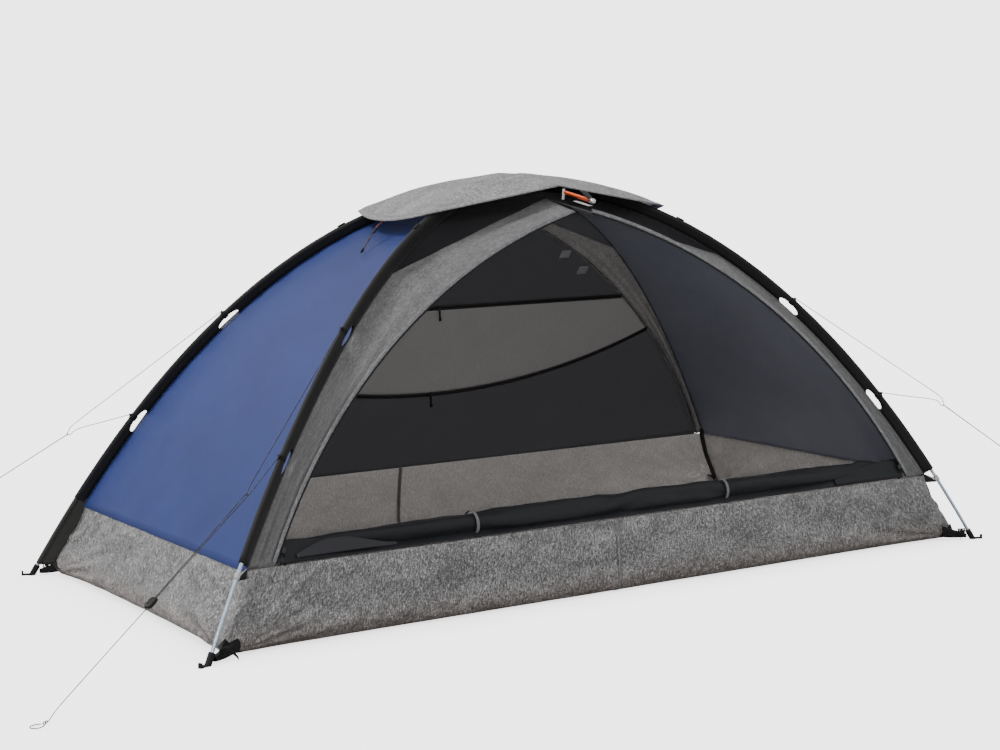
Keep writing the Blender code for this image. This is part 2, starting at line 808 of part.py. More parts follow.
def guyline_route(corner):
    junction, length, down, side, _ = guy_frame(corner)
    stretches = LINE_ROUTE + tuple((share * length, aside) for share, aside in SINGLE_ROUTE)
    line = [junction + down * along + side * aside for along, aside in stretches]
    end = Vector((GUYS[corner][1], 0.0, 0.0))
    return line + [end + Vector(spot) for spot in LOOP_ROUTE]


def bridle_route(corner):
    """From the upper guying loop on the sleeve, round the guyline's end, to the lower loop."""
    junction, _, down, _, above = guy_frame(corner)
    upper, lower = (
        Vector((out, 0.0, up))
        for out, up in (arm(place, 0.0115, pole_rise(corner)) for place in CUTOUTS)
    )
    turn = [junction + down * along + above * over for along, over in BRIDLE_TURN]
    third = (turn[0] - upper) / 3
    return [upper, upper + third, upper + 2 * third, *turn, (turn[-1] + lower) / 2, lower]


def make_guylines():
    for corner in CORNERS:
        finish = (CORD_GREY, 0.80)
        routes = {"guyline": guyline_route(corner), "bridle": bridle_route(corner)}
        for name, route in routes.items():
            cord = tube(f"{name}_{corner}", smooth_route(route, 2), CORD_RADIUS, finish)
            turn_to_corner(cord, corner)


def make_tensioners():
    """Line tensioners: a block that both strands of the guyline run through."""
    half_length, half_width, half_height = 0.015, 0.0078, 0.0040
    slot_width, slot_height = 0.0046, 0.0021
    for corner in CORNERS:
        junction, _, down, side, above = guy_frame(corner)

        def ring(along, wide, high):
            signs = ((-1, -1), (1, -1), (1, 1), (-1, 1))
            return [down * along + side * wide * a + above * high * b for a, b in signs]

        stations = ((-1.0, 0.75), (-0.6, 1.0), (0.6, 1.0), (1.0, 0.75))
        rings = [ring(half_length * at, half_width * w, half_height * w) for at, w in stations]
        holes = [ring(half_length * at, slot_width, slot_height) for at, _ in stations]
        block = add_part(f"tensioner_{corner}", loft("tensioner", rings, holes), (BLACK, 0.40))
        block.location = in_corner(junction + down * TENSIONER_PLACE, corner)
        turn_to_corner(block, corner)


clear_scene()
PARTS = new_collection("dome_tent")
CUTTERS = new_collection("cutters")
make_poles()
make_feet()
make_sleeves()
make_end_panels()
make_bands("front", -1, FRONT_EDGE_RADIUS)
make_bands("rear", 1, REAR_EDGE_RADIUS)
make_vent("front_vent_panel", -1)
make_vent("rear_vent_panel", 1)
make_rear_panels()
make_bathtub()
make_cap()
make_struts()
make_door_roll()
make_ties()
make_sliders()
make_corner_straps()
make_ladder_locks()
make_guylines()
make_tensioners()
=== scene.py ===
"""Looks of the pitched dome tent: fabric panels, cords, fittings, materials, camera and light."""

import math

import bmesh
import bpy
from mathutils import Matrix, Vector, noise


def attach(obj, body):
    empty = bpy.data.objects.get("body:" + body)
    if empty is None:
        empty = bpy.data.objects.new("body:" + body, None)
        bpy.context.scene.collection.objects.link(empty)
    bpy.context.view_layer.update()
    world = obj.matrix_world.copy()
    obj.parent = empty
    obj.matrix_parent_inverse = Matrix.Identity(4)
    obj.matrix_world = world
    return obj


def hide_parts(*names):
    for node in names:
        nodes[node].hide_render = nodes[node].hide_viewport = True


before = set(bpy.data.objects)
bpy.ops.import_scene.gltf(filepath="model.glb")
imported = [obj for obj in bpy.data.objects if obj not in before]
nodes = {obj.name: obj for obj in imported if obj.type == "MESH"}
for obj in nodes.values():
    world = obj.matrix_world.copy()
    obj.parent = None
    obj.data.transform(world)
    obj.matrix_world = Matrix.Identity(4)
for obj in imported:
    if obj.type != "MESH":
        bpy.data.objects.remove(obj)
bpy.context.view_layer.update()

# ---- The tent's own dimensions, as in the CAD ----------------------------------------------------
HALF_X, HALF_Y, HEIGHT, QUARTIC = 1.150, 0.547, 1.000, 0.10
DIAGONAL = math.hypot(HALF_X, HALF_Y)
ALONG, ACROSS = HALF_X / DIAGONAL, HALF_Y / DIAGONAL
CORNERS = {"fl": (-1, -1), "fr": (1, -1), "bl": (-1, 1), "br": (1, 1)}
CROSSING_RISE = 0.010
POLE_RADIUS = 0.00435
SEAM_DEPTH = 0.0225
WALL_TOP, WALL_TOP_HALF = 0.1826, (1.0227, 0.4891)
LEAN = 0.227
SLANT = math.hypot(1.0, LEAN)
DOOR_CENTRE, FRONT_RADIUS, REAR_RADIUS = (0.364, -0.656), 1.475, 1.510
PEAK_HALF_WIDTH = 0.020
BAND_LEAVES_POLE, BAND_PEAK = 0.445, (0.148, 0.962)
CUTOUTS = (0.595, 0.785)
ROLL = (-0.452, 0.212)
ZIP_RADIUS, ZIP_HEIGHT, WINDOW_SILL = 1.95, 0.393, 0.643
GUYS = {
    "fl": ((1.125, 0.350), 1.765),
    "bl": ((1.168, 0.368), 1.765),
    "fr": ((1.184, 0.376), 1.700),
    "br": ((1.142, 0.360), 1.640),
}
CORD_RADIUS = 0.0010
SLEEVE_RADIUS, COLLAR_RADIUS = 0.0078, 0.0064
CLOTH_TOP, BAND_FOOT = 0.035, 0.903  # places along a pole arm, from the crossing to the ground
HOLE_DEPTH, HOLE_HALF = 0.0165, (0.034, 0.0095)
TUB_WIDEST = (1.080, 0.505)
TIE_PLACES = {"left": -0.420, "right": 0.335}
WAVE_SCALE = 0.314  # a wave texture's scale times the distance between its stripes, in metres


# ---- Small helpers -------------------------------------------------------------------------------
def smooth(x, low=0.0, high=1.0):
    t = min(max((x - low) / (high - low), 0.0), 1.0)
    return t * t * (3 - 2 * t)


def rough(spot, scale, octaves=3):
    return noise.fractal(Vector(spot) * scale, 0.9, 2.0, octaves)


def arm(place, offset=0.0, rise=0.0):
    """(outwards, up) on a pole arm, offset outwards at right angles to the pole."""
    height = (HEIGHT + rise) * (1.0 - (1 - QUARTIC) * place**2 - QUARTIC * place**4)
    slope = -(HEIGHT + rise) * (2 * (1 - QUARTIC) * place + 4 * QUARTIC * place**3) / DIAGONAL
    length = math.hypot(1.0, slope)
    return DIAGONAL * place - offset * slope / length, height + offset / length


def pole_rise(corner):
    return CROSSING_RISE if corner in ("fl", "br") else 0.0


def in_corner(spot, corner):
    side_x, side_y = CORNERS[corner]
    angle = math.atan2(side_y * ACROSS, side_x * ALONG)
    return Matrix.Rotation(angle, 3, "Z") @ Vector(spot)


def seam(place, side_x, side_y):
    out, up = arm(place, -SEAM_DEPTH)
    return Vector((side_x * ALONG * out, side_y * ACROSS * out, up))


def door_point(x, rise, side_y, out=0.0):
    height = WALL_TOP + rise / SLANT
    spot = Vector((x, side_y * (WALL_TOP_HALF[1] - LEAN * (height - WALL_TOP)), height))
    return spot + Vector((0.0, side_y, LEAN)) * (out / SLANT)


def edge_span(radius):
    return (
        math.asin(-DOOR_CENTRE[1] / radius),
        math.acos((DOOR_CENTRE[0] + PEAK_HALF_WIDTH) / radius),
    )


def edge_xw(angle, radius):
    return radius * math.cos(angle) - DOOR_CENTRE[0], DOOR_CENTRE[1] + radius * math.sin(angle)


def link(name, data, body="tent"):
    thing = bpy.data.objects.new(name, data)
    bpy.context.scene.collection.objects.link(thing)
    if body:
        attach(thing, body)
    return thing


def scaled(colour, by):
    return tuple(min(1.0, by * c) for c in colour)


def mesh_from(name, bm):
    mesh = bpy.data.meshes.new(name)
    bm.to_mesh(mesh)
    bm.free()
    return mesh


def dress(thing, *materials):
    thing.data.materials.clear()
    for made in materials:
        thing.data.materials.append(made)
    return thing


def sheet(name, point, columns, rows, material, inner=None, thick=0.0005, wrinkle=None,
          closed=False, body="tent"):
    """A sheet of cloth through point(u, v), with UVs in metres and its wrinkles in the mesh."""
    bm = bmesh.new()
    wide = columns if closed else columns + 1
    spots = [[Vector(point(i / columns, j / rows)) for i in range(wide)] for j in range(rows + 1)]
    grid = [[bm.verts.new(spot) for spot in row] for row in spots]
    across = [0.0]
    middle = spots[rows // 2] + ([spots[rows // 2][0]] if closed else [])
    for a, b in zip(middle, middle[1:]):
        across.append(across[-1] + (b - a).length)
    half = columns // 2
    along = [0.0]
    for a, b in zip(spots, spots[1:]):
        along.append(along[-1] + (b[half] - a[half]).length)
    layer = bm.loops.layers.uv.new("metres")
    for j in range(rows):
        for i in range(columns):
            k = (i + 1) % wide
            face = bm.faces.new((grid[j][i], grid[j][k], grid[j + 1][k], grid[j + 1][i]))
            face.smooth = True
            corners = ((i, j), (i + 1, j), (i + 1, j + 1), (i, j + 1))
            for loop, (a, b) in zip(face.loops, corners):
                loop[layer].uv = (across[a], along[b])
    bm.normal_update()
    if wrinkle:
        moves = []
        for j in range(rows + 1):
            for i in range(wide):
                vert = grid[j][i]
                moves.append((vert, vert.normal * wrinkle(i / columns, j / rows, vert.co)))
        for vert, move in moves:
            vert.co += move
    made = dress(link(name, mesh_from(name, bm), body), material, *([inner] if inner else []))
    if thick:
        shell = made.modifiers.new("Cloth", "SOLIDIFY")
        shell.thickness = thick
        shell.offset = 0.0
        if inner:
            shell.material_offset = 1
            shell.material_offset_rim = 0
    return made


def loft(rings):
    """A closed body through rings of points."""
    bm = bmesh.new()
    loops = [[bm.verts.new(spot) for spot in ring] for ring in rings]
    for low, high in zip(loops, loops[1:]):
        for i in range(len(low)):
            j = (i + 1) % len(low)
            bm.faces.new((low[i], low[j], high[j], high[i]))
    bm.faces.new(loops[0])
    bm.faces.new(loops[-1])
    bmesh.ops.recalc_face_normals(bm, faces=bm.faces)
    return bm


def solid(name, rings, material, body="tent", bevel=0.0):
    bm = loft(rings)
    for face in bm.faces:
        face.smooth = True
    made = dress(link(name, mesh_from(name, bm), body), material)
    if bevel:
        rounded = made.modifiers.new("Edges", "BEVEL")
        rounded.width = bevel
        rounded.segments = 2
        rounded.limit_method = "ANGLE"
        rounded.angle_limit = math.radians(40)
        made.modifiers.new("Shading", "WEIGHTED_NORMAL")
    return made


def turned(start, axis, stations, sides):
    """The rings of a lathed body: stations are (distance along the axis, radius)."""
    axis = Vector(axis).normalized()
    side = axis.orthogonal().normalized()
    up = axis.cross(side)
    rings = []
    for along, radius in stations:
        middle = Vector(start) + axis * along
        rings.append([
            middle + (side * math.cos(a) + up * math.sin(a)) * radius
            for a in (math.tau * k / sides for k in range(sides))
        ])
    return rings


def block(middle, half, axes):
    """The rings of a box about middle, along three unit axes."""
    signs = ((-1, -1), (1, -1), (1, 1), (-1, 1))
    return [
        [
            Vector(middle) + axes[0] * half[0] * a + axes[1] * half[1] * b + axes[2] * half[2] * c
            for a, b in signs
        ]
        for c in (-1, 1)
    ]


def cord_tube(name, points, radius, material, resolution=3):
    """A round cord along points. It is made a mesh, because a curve's own box is 1 m too wide."""
    curve = bpy.data.curves.new(name, "CURVE")
    curve.dimensions = "3D"
    curve.bevel_depth = radius
    curve.bevel_resolution = resolution
    curve.use_fill_caps = True
    run = curve.splines.new("POLY")
    run.points.add(len(points) - 1)
    for slot, point in zip(run.points, points):
        slot.co = (*point, 1.0)
    drawn = bpy.data.objects.new(name, curve)
    mesh = bpy.data.meshes.new_from_object(drawn)
    bpy.data.objects.remove(drawn)
    bpy.data.curves.remove(curve)
    mesh.materials.clear()
    mesh.shade_smooth()
    return dress(link(name, mesh), material)


def spline(a, b, c, d, t):
    """A Catmull-Rom spline from b to c, for t from 0 to 1."""
    return 0.5 * (
        2 * b + (c - a) * t + (2 * a - 5 * b + 4 * c - d) * t**2
        + (3 * b - a - 3 * c + d) * t**3
    )


def smooth_route(points, steps):
    points = [Vector(point) for point in points]
    ends = [2 * points[0] - points[1], *points, 2 * points[-1] - points[-2]]
    route = []
    for four in zip(ends, ends[1:], ends[2:], ends[3:]):
        route += [spline(*four, k / steps) for k in range(steps)]
    return [*route, points[-1]]


def strap(name, route, wide, material, side, thick=0.0012, body="tent"):
    """A flat strap along a route, its width along side."""
    side = Vector(side).normalized()

    def point(u, v):
        at = v * (len(route) - 1)
        k = min(int(at), len(route) - 2)
        return Vector(route[k]).lerp(Vector(route[k + 1]), at - k) + side * wide * (u - 0.5)

    return sheet(name, point, 4, 4 * (len(route) - 1), material, thick=thick, body=body)


# ---- Materials -----------------------------------------------------------------------------------
class Graph:
    """A material's node tree, built a node at a time."""

    def __init__(self, name, roughness, metallic=0.0):
        self.material = bpy.data.materials.new(name)
        self.material.use_nodes = True
        self.tree = self.material.node_tree
        self.shader = self.tree.nodes["Principled BSDF"]
        self.output = self.tree.nodes["Material Output"]
        self.shader.inputs["Roughness"].default_value = roughness
        self.shader.inputs["Metallic"].default_value = metallic

    def node(self, kind, inputs=None, **settings):
        made = self.tree.nodes.new(kind)
        for key, value in settings.items():
            setattr(made, key, value)
        for key, value in (inputs or {}).items():
            if isinstance(value, bpy.types.NodeSocket):
                self.tree.links.new(value, made.inputs[key])
            else:
                made.inputs[key].default_value = value
        return made

    def math(self, operation, a, b=0.0):
        return self.node("ShaderNodeMath", {0: a, 1: b}, operation=operation).outputs[0]

    def remap(self, value, low, high, to_low, to_high):
        return self.node("ShaderNodeMapRange", {
            0: value, 1: low, 2: high, 3: to_low, 4: to_high,
        }).outputs[0]

    def wave(self, direction, pitch, turn=0.0, **inputs):
        """Stripes this far apart on the cloth."""
        return self.node("ShaderNodeTexWave", {
            "Vector": self.coords("UV", turn=turn), "Scale": WAVE_SCALE / pitch, **inputs,
        }, bands_direction=direction).outputs["Fac"]

    def coords(self, kind, scale=(1, 1, 1), turn=0.0):
        source = self.node("ShaderNodeTexCoord").outputs[kind]
        return self.node(
            "ShaderNodeMapping", {"Vector": source, "Scale": scale, "Rotation": (0, 0, turn)}
        ).outputs[0]

    def noise(self, vector, scale, detail=4.0, distortion=0.0, roughness=0.55):
        return self.node("ShaderNodeTexNoise", {
            "Vector": vector, "Scale": scale, "Detail": detail, "Distortion": distortion,
            "Roughness": roughness,
        }).outputs["Fac"]

    def ramp(self, value, stops):
        made = self.node("ShaderNodeValToRGB", {0: value})
        ramp = made.color_ramp
        ramp.elements[0].position, ramp.elements[0].color = stops[0][0], (*stops[0][1], 1)
        ramp.elements[1].position, ramp.elements[1].color = stops[-1][0], (*stops[-1][1], 1)
        for place, colour in stops[1:-1]:
            ramp.elements.new(place).color = (*colour, 1)
        return made.outputs[0]

    def mix(self, factor, a, b, blend="MIX"):
        made = self.node("ShaderNodeMix", data_type="RGBA", blend_type=blend)
        for index, value in ((0, factor), (6, a), (7, b)):
            if isinstance(value, bpy.types.NodeSocket):
                self.tree.links.new(value, made.inputs[index])
            else:
                made.inputs[index].default_value = value if index == 0 else (*value, 1)
        return made.outputs[2]

    def set(self, name, value):
        if isinstance(value, bpy.types.NodeSocket):
            self.tree.links.new(value, self.shader.inputs[name])
        else:
            self.shader.inputs[name].default_value = value

    def bump(self, height, strength, distance):
        before = self.shader.inputs["Normal"].links
        inputs = {"Height": height, "Strength": strength, "Distance": distance}
        if before:
            inputs["Normal"] = before[0].from_socket
        self.set("Normal", self.node("ShaderNodeBump", inputs).outputs[0])

    def translucent(self, share, colour):
        glow = self.node("ShaderNodeBsdfTranslucent", {"Color": (*colour, 1)}).outputs[0]
        both = self.node("ShaderNodeMixShader", {
            0: share, 1: self.shader.outputs[0], 2: glow,
        }).outputs[0]
        self.tree.links.new(both, self.output.inputs["Surface"])


def laminate(name, dark, light, see_through=0.12, crinkle=0.5, gloss=0.42, low_tint=None,
             painted_glint_gain=1.9):
    """Fibre-backed laminate: loose crossing threads, small crinkles, a broken shine and painted
    glints.
    """
    g = Graph(name, gloss)
    upright = g.noise(g.coords("UV", (400, 95, 1)), 1.0, 2.0, 1.6)
    level = g.noise(g.coords("UV", (95, 420, 1), 0.05), 1.0, 2.0, 1.2)
    stray = g.noise(g.coords("UV", (380, 120, 1), 0.6), 1.0, 2.0, 1.4)
    fine = g.noise(g.coords("UV", (1000, 420, 1), -0.2), 1.0, 2.0)
    weave = g.math("ADD", g.math("MULTIPLY", upright, 0.46), g.math("MULTIPLY", level, 0.16))
    weave = g.math("ADD", weave, g.math("MULTIPLY", stray, 0.28))
    weave = g.math("ADD", weave, g.math("MULTIPLY", fine, 0.10))
    patches = g.noise(g.coords("UV", (1, 1.6, 1)), 9.0, 5.0, 0.8)
    value = g.math("ADD", g.math("MULTIPLY", weave, 0.90), g.math("MULTIPLY", patches, 0.10))
    middle = tuple((a + b) / 2 for a, b in zip(dark, light))
    # Painted highlight: the last stop, the light colour times painted_glint_gain, paints glints
    # into the base colour.
    stops = [(0.465, dark), (0.50, middle), (0.535, light), (0.575, scaled(light, painted_glint_gain))]
    colour = g.ramp(value, stops)
    if low_tint:
        height = g.node("ShaderNodeSeparateXYZ", {0: g.coords("Object")}).outputs[2]
        height = g.math("ADD", height, g.math("MULTIPLY", patches, 0.03))
        fade = g.remap(height, 0.015, 0.085, 1.0, 0.0)
        colour = g.mix(fade, colour, low_tint, "MULTIPLY")
    g.set("Base Color", colour)
    shine = g.noise(g.coords("UV", (1, 0.4, 1), 0.4), 170.0, 2.0, 0.6)
    g.set("Roughness", g.remap(shine, 0.35, 0.65, gloss - 0.14, gloss + 0.22))
    creases = g.node("ShaderNodeTexVoronoi", {
        "Vector": g.node("ShaderNodeVectorMath", {
            0: g.coords("UV", (1, 0.55, 1), 0.25),
            1: g.node("ShaderNodeVectorMath", {
                0: g.node("ShaderNodeTexNoise", {
                    "Vector": g.coords("UV"), "Scale": 60.0, "Detail": 3.0,
                }).outputs["Color"], 1: (0.016, 0.016, 0.0),
            }, operation="MULTIPLY").outputs[0],
        }, operation="ADD").outputs[0],
        "Scale": 95.0,
    }, feature="DISTANCE_TO_EDGE").outputs["Distance"]
    g.bump(g.math("MINIMUM", g.math("MULTIPLY", creases, 3.0), 0.5), crinkle, 0.0030)
    g.bump(weave, 0.9, 0.0016)
    g.bump(g.noise(g.coords("UV", (1, 0.35, 1), 0.3), 110.0, 3.0, 0.8), crinkle, 0.0024)
    g.bump(g.noise(g.coords("UV", (1, 0.8, 1)), 30.0, 4.0, 0.9), crinkle * 0.8, 0.0045)
    g.set("Specular IOR Level", 0.5)
    g.translucent(see_through, (0.90, 0.88, 0.86))
    return g.material


def woven(name, colour, roughness=0.62, thread=0.0011, sheen=0.25, see_through=0.0, grid=0.0,
          specular=0.4, through=(0.48, 0.48, 0.50)):
    """Woven cloth: crossing threads, soft creases, and a ripstop grid if asked for."""
    g = Graph(name, roughness)
    threads = [g.wave(way, thread, Distortion=0.4, Detail=1.0) for way in ("X", "Y")]
    cloth = g.math("MULTIPLY", *threads)
    patches = g.noise(g.coords("UV"), 3.5, 5.0, 0.4)
    shade = g.math("ADD", g.math("MULTIPLY", cloth, 0.25), g.math("MULTIPLY", patches, 0.9))
    high = scaled(colour, 1.22)
    tone = g.ramp(shade, [(0.25, scaled(colour, 0.72)), (0.85, high)])
    if grid:
        lines = [g.math("GREATER_THAN", g.wave(way, grid), 0.975) for way in ("X", "Y")]
        tone = g.mix(g.math("MULTIPLY", g.math("MAXIMUM", *lines), 0.35), tone, high)
    g.set("Base Color", tone)
    g.set("Sheen Weight", sheen)
    g.set("Sheen Roughness", 0.45)
    g.set("Specular IOR Level", specular)
    g.bump(cloth, 0.3, 0.0003)
    g.bump(g.noise(g.coords("UV"), 45.0, 4.0, 0.5), 0.22, 0.0018)
    if see_through:
        g.translucent(see_through, through)
    return g.material


def netting(name, colour):
    """Fine insect netting: dark threads round pinholes."""
    g = Graph(name, 0.9)
    holes = g.node("ShaderNodeTexVoronoi", {
        "Vector": g.coords("UV"), "Scale": 620.0, "Randomness": 0.15,
    }).outputs["Distance"]
    shade = g.math("ADD", holes, g.noise(g.coords("UV"), 4.0, 4.0, 0.3))
    g.set("Base Color", g.ramp(shade, [(0.5, scaled(colour, 0.6)), (1.2, colour)]))
    g.set("Sheen Weight", 0.05)
    g.set("Specular IOR Level", 0.15)
    g.bump(holes, 0.4, 0.0005)
    g.translucent(0.30, (0.48, 0.48, 0.50))
    return g.material


def webbing(name, colour, rib=0.0016, stitches=False):
    g = Graph(name, 0.72)
    ribs = g.wave("Y", rib, 0.6, Distortion=0.3)
    fibres = g.noise(g.coords("UV", (900, 300, 1)), 1.0, 3.0)
    tone = g.ramp(g.math("ADD", g.math("MULTIPLY", ribs, 0.5), g.math("MULTIPLY", fibres, 0.5)), [
        (0.2, scaled(colour, 0.55)), (0.85, scaled(colour, 1.35)),
    ])
    if stitches:
        across = g.node("ShaderNodeSeparateXYZ", {0: g.coords("UV")})
        dash = g.math("FRACT", g.math("MULTIPLY", across.outputs[1], 260.0))
        dash = g.math("LESS_THAN", dash, 0.62)
        line = g.math("ABSOLUTE", g.math("SUBTRACT", across.outputs[0], 0.0022))
        line = g.math("LESS_THAN", line, 0.0005)
        tone = g.mix(g.math("MULTIPLY", dash, line), tone, (0.62, 0.62, 0.62))
    g.set("Base Color", tone)
    g.set("Sheen Weight", 0.04)
    g.set("Specular IOR Level", 0.2)
    g.bump(ribs, 0.5, 0.0006)
    return g.material


def metal(name, colour, roughness, scratch=0.12, stretch=(30, 30, 30)):
    g = Graph(name, roughness, 1.0)
    wear = g.noise(g.coords("Object", stretch), 3.0, 6.0)
    g.set("Base Color", g.ramp(wear, [(0.3, scaled(colour, 0.82)), (0.7, colour)]))
    marks = g.noise(g.coords("Object", (400, 400, 400)), 1.0, 3.0)
    g.set("Roughness", g.remap(marks, 0.3, 0.7, roughness - scratch, roughness + scratch))
    return g.material


def plastic(name, colour, roughness=0.42, specular=0.5):
    g = Graph(name, roughness)
    grain = g.noise(g.coords("Object"), 900.0, 3.0)
    wear = g.noise(g.coords("Object"), 60.0, 5.0)
    stops = [(0.35, scaled(colour, 0.8)), (0.75, scaled(colour, 1.25))]
    g.set("Base Color", g.ramp(wear, stops))
    g.set("Roughness", g.remap(wear, 0.3, 0.7, roughness - 0.08, roughness + 0.12))
    g.set("Specular IOR Level", specular)
    g.bump(grain, 0.15, 0.0003)
    return g.material


def braided(name, colour, fleck):
    """Braided cord: two crossing strands and a light tracer."""
    g = Graph(name, 0.7)
    weave = g.node("ShaderNodeTexVoronoi", {
        "Vector": g.coords("Object"), "Scale": 900.0,
    }).outputs["Distance"]
    tracer = g.noise(g.coords("Object"), 260.0, 1.0)
    tone = g.ramp(tracer, [(0.50, colour), (0.58, colour), (0.60, fleck)])
    g.set("Base Color", tone)
    g.set("Sheen Weight", 0.15)
    g.bump(weave, 0.6, 0.0005)
    return g.material


# Each laminate's last argument, where given, is its painted_glint_gain, the strength of its painted
# glints.
BAND = laminate("band_laminate", (0.050, 0.051, 0.057), (0.225, 0.226, 0.240), 0.28, 0.6, 0.46,
                None, 2.2)
BAND_IN = laminate("band_laminate_inside", (0.10, 0.10, 0.102), (0.18, 0.18, 0.183), 0.14, 0.3,
                   0.55, None, 1.4)
# A lighter copy of the band lining for the rear bands: painted light, for sun shining through them
# from behind.
REAR_BAND_LINING_PAINTED_LIGHT = laminate("rear_band_laminate_inside_painted_light", (0.19, 0.187, 0.186), (0.29, 0.286, 0.285),
                        0.20, 0.3, 0.55, None, 1.4)
TUB = laminate("wall_laminate", (0.082, 0.084, 0.085), (0.385, 0.387, 0.39), 0.30, 0.85, 0.34,
               (0.92, 0.76, 0.70))
# The tub's inner face is a lighter, warmer copy of the wall laminate: painted light, for sun
# shining through the wall.
TUB_IN_PAINTED_LIGHT = laminate("wall_laminate_inside_painted_light", (0.37, 0.345, 0.333), (0.66, 0.62, 0.60), 0.34, 0.6, 0.50,
                  None, 1.3)
CAP = laminate("cap_laminate", (0.17, 0.17, 0.174), (0.46, 0.459, 0.46), 0.30, 0.5, 0.48, None, 1.6)
ARCH = laminate("arch_laminate", (0.150, 0.147, 0.153), (0.182, 0.179, 0.186), 0.27, 0.2, 0.55,
                None, 1.15)
BLUE = woven("blue_ripstop", (0.014, 0.035, 0.185), 0.50, 0.0011, 0.03, 0.12, 0.0055, 0.4,
             (0.45, 0.50, 0.66))
BLUE_IN = woven("blue_ripstop_coated_side", (0.31, 0.32, 0.355), 0.55, 0.0011, 0.03, 0.34, 0.0055,
                0.4, (0.66, 0.68, 0.74))
NYLON = woven("black_nylon", (0.030, 0.030, 0.034), 0.70, 0.0012, 0.05, 0.30, 0.0, 0.2)
SLEEVE = woven("sleeve_nylon", (0.010, 0.010, 0.011), 0.62, 0.0012, 0.08, 0.0, 0.0, 0.25)
ROLLED = woven("rolled_door_nylon", (0.006, 0.007, 0.010), 0.50, 0.0012, 0.06, 0.0, 0.0, 0.35)
# The loose flap is a lighter copy of the rolled door nylon: a painted sheen.
DOOR_NYLON_PAINTED_SHEEN = woven("loose_door_nylon_painted_sheen", (0.026, 0.026, 0.032), 0.50, 0.0012, 0.10, 0.0, 0.0, 0.35)
NET = netting("insect_netting", (0.022, 0.022, 0.025))
STRAP = webbing("black_webbing", (0.008, 0.008, 0.009))
HEM = laminate("hem_laminate", (0.14, 0.14, 0.15), (0.27, 0.27, 0.28), 0.10, 0.3, 0.50, None, 1.4)
SEAM_TAPE = woven("seam_tape", (0.045, 0.043, 0.045), 0.55, 0.0012, 0.05)
ELASTIC = webbing("grey_elastic", (0.20, 0.20, 0.20), 0.0012)
CUFF = webbing("light_cuff", (0.62, 0.61, 0.60), 0.0012)
POLE = metal("anodised_pole", (0.64, 0.77, 0.94), 0.22, 0.07, (40, 40, 4))
STEEL = metal("bright_metal", (0.85, 0.85, 0.86), 0.22)
ORANGE = metal("orange_tube", (0.92, 0.13, 0.030), 0.34)
BLACK_PLASTIC = plastic("black_plastic", (0.006, 0.006, 0.007), 0.5, 0.25)
WHITE_PLASTIC = plastic("white_plastic", (0.72, 0.70, 0.68), 0.5)
ZIP_METAL = plastic("zip_slider_black", (0.02, 0.02, 0.022), 0.32)
ZIP_COIL = webbing("zip_coil", (0.018, 0.018, 0.020), 0.0012)
CORD = braided("guy_cord", (0.010, 0.010, 0.010), (0.09, 0.085, 0.08))
TIE_CORD = braided("cap_cord", (0.030, 0.022, 0.022), (0.20, 0.10, 0.09))
RED_TAPE = webbing("dark_red_tape", (0.10, 0.028, 0.026), 0.0012)
SEAM_BACK = laminate("seam_inside", (0.17, 0.155, 0.15), (0.24, 0.22, 0.21), 0.10, 0.3, 0.55,
                     None, 1.1)
SKIRT = woven("rear_corner_nylon", (0.035, 0.035, 0.032), 0.65, 0.0012, 0.10, 0.0, 0.0, 0.3)
LABEL = woven("label_cloth", (0.42, 0.42, 0.44), 0.7, 0.0008, 0.1)
SEAM_FELL = laminate("seam_fell", (0.13, 0.13, 0.13), (0.30, 0.30, 0.30), 0.20, 0.4, 0.45)


# ---- Camera, floor and light ---------------------------------------------------------------------
def make_camera():
    yaw, pitch, roll = 0.5704, 0.1207, -0.0118
    ahead = Vector((
        math.cos(pitch) * math.sin(yaw), math.cos(pitch) * math.cos(yaw), -math.sin(pitch)
    ))
    right = Vector((math.cos(yaw), -math.sin(yaw), 0.0))
    up = right.cross(ahead)
    level = Matrix((right, up, -ahead)).transposed().to_4x4()
    level.translation = (-2.8709, -4.4048, 1.1286)
    data = bpy.data.cameras.new("camera")
    data.lens = 71.81
    data.sensor_width = 36.0
    camera = bpy.data.objects.new("camera", data)
    bpy.context.scene.collection.objects.link(camera)
    camera.matrix_world = level @ Matrix.Rotation(roll, 4, "Z")
    bpy.context.scene.camera = camera


def glow(name, strength, painted_contact_shadow=False):
    """A pale surface that gives its own even light; with painted_contact_shadow it is a little
    darker where the tent is near it, a painted contact shadow.
    """
    g = Graph(name, 0.95)
    if painted_contact_shadow:
        # Painted contact shadow: ambient occlusion dims the floor's glow where the tent is near.
        near = g.node("ShaderNodeAmbientOcclusion", {"Distance": 0.14}, samples=8).outputs["AO"]
        strength = g.math("MULTIPLY", g.remap(near, 0.0, 1.0, 0.50, 1.0), strength)
    shine = g.node("ShaderNodeEmission", {"Color": (1, 1, 1, 1), "Strength": strength}).outputs[0]
    g.tree.links.new(shine, g.output.inputs["Surface"])
    return g.material


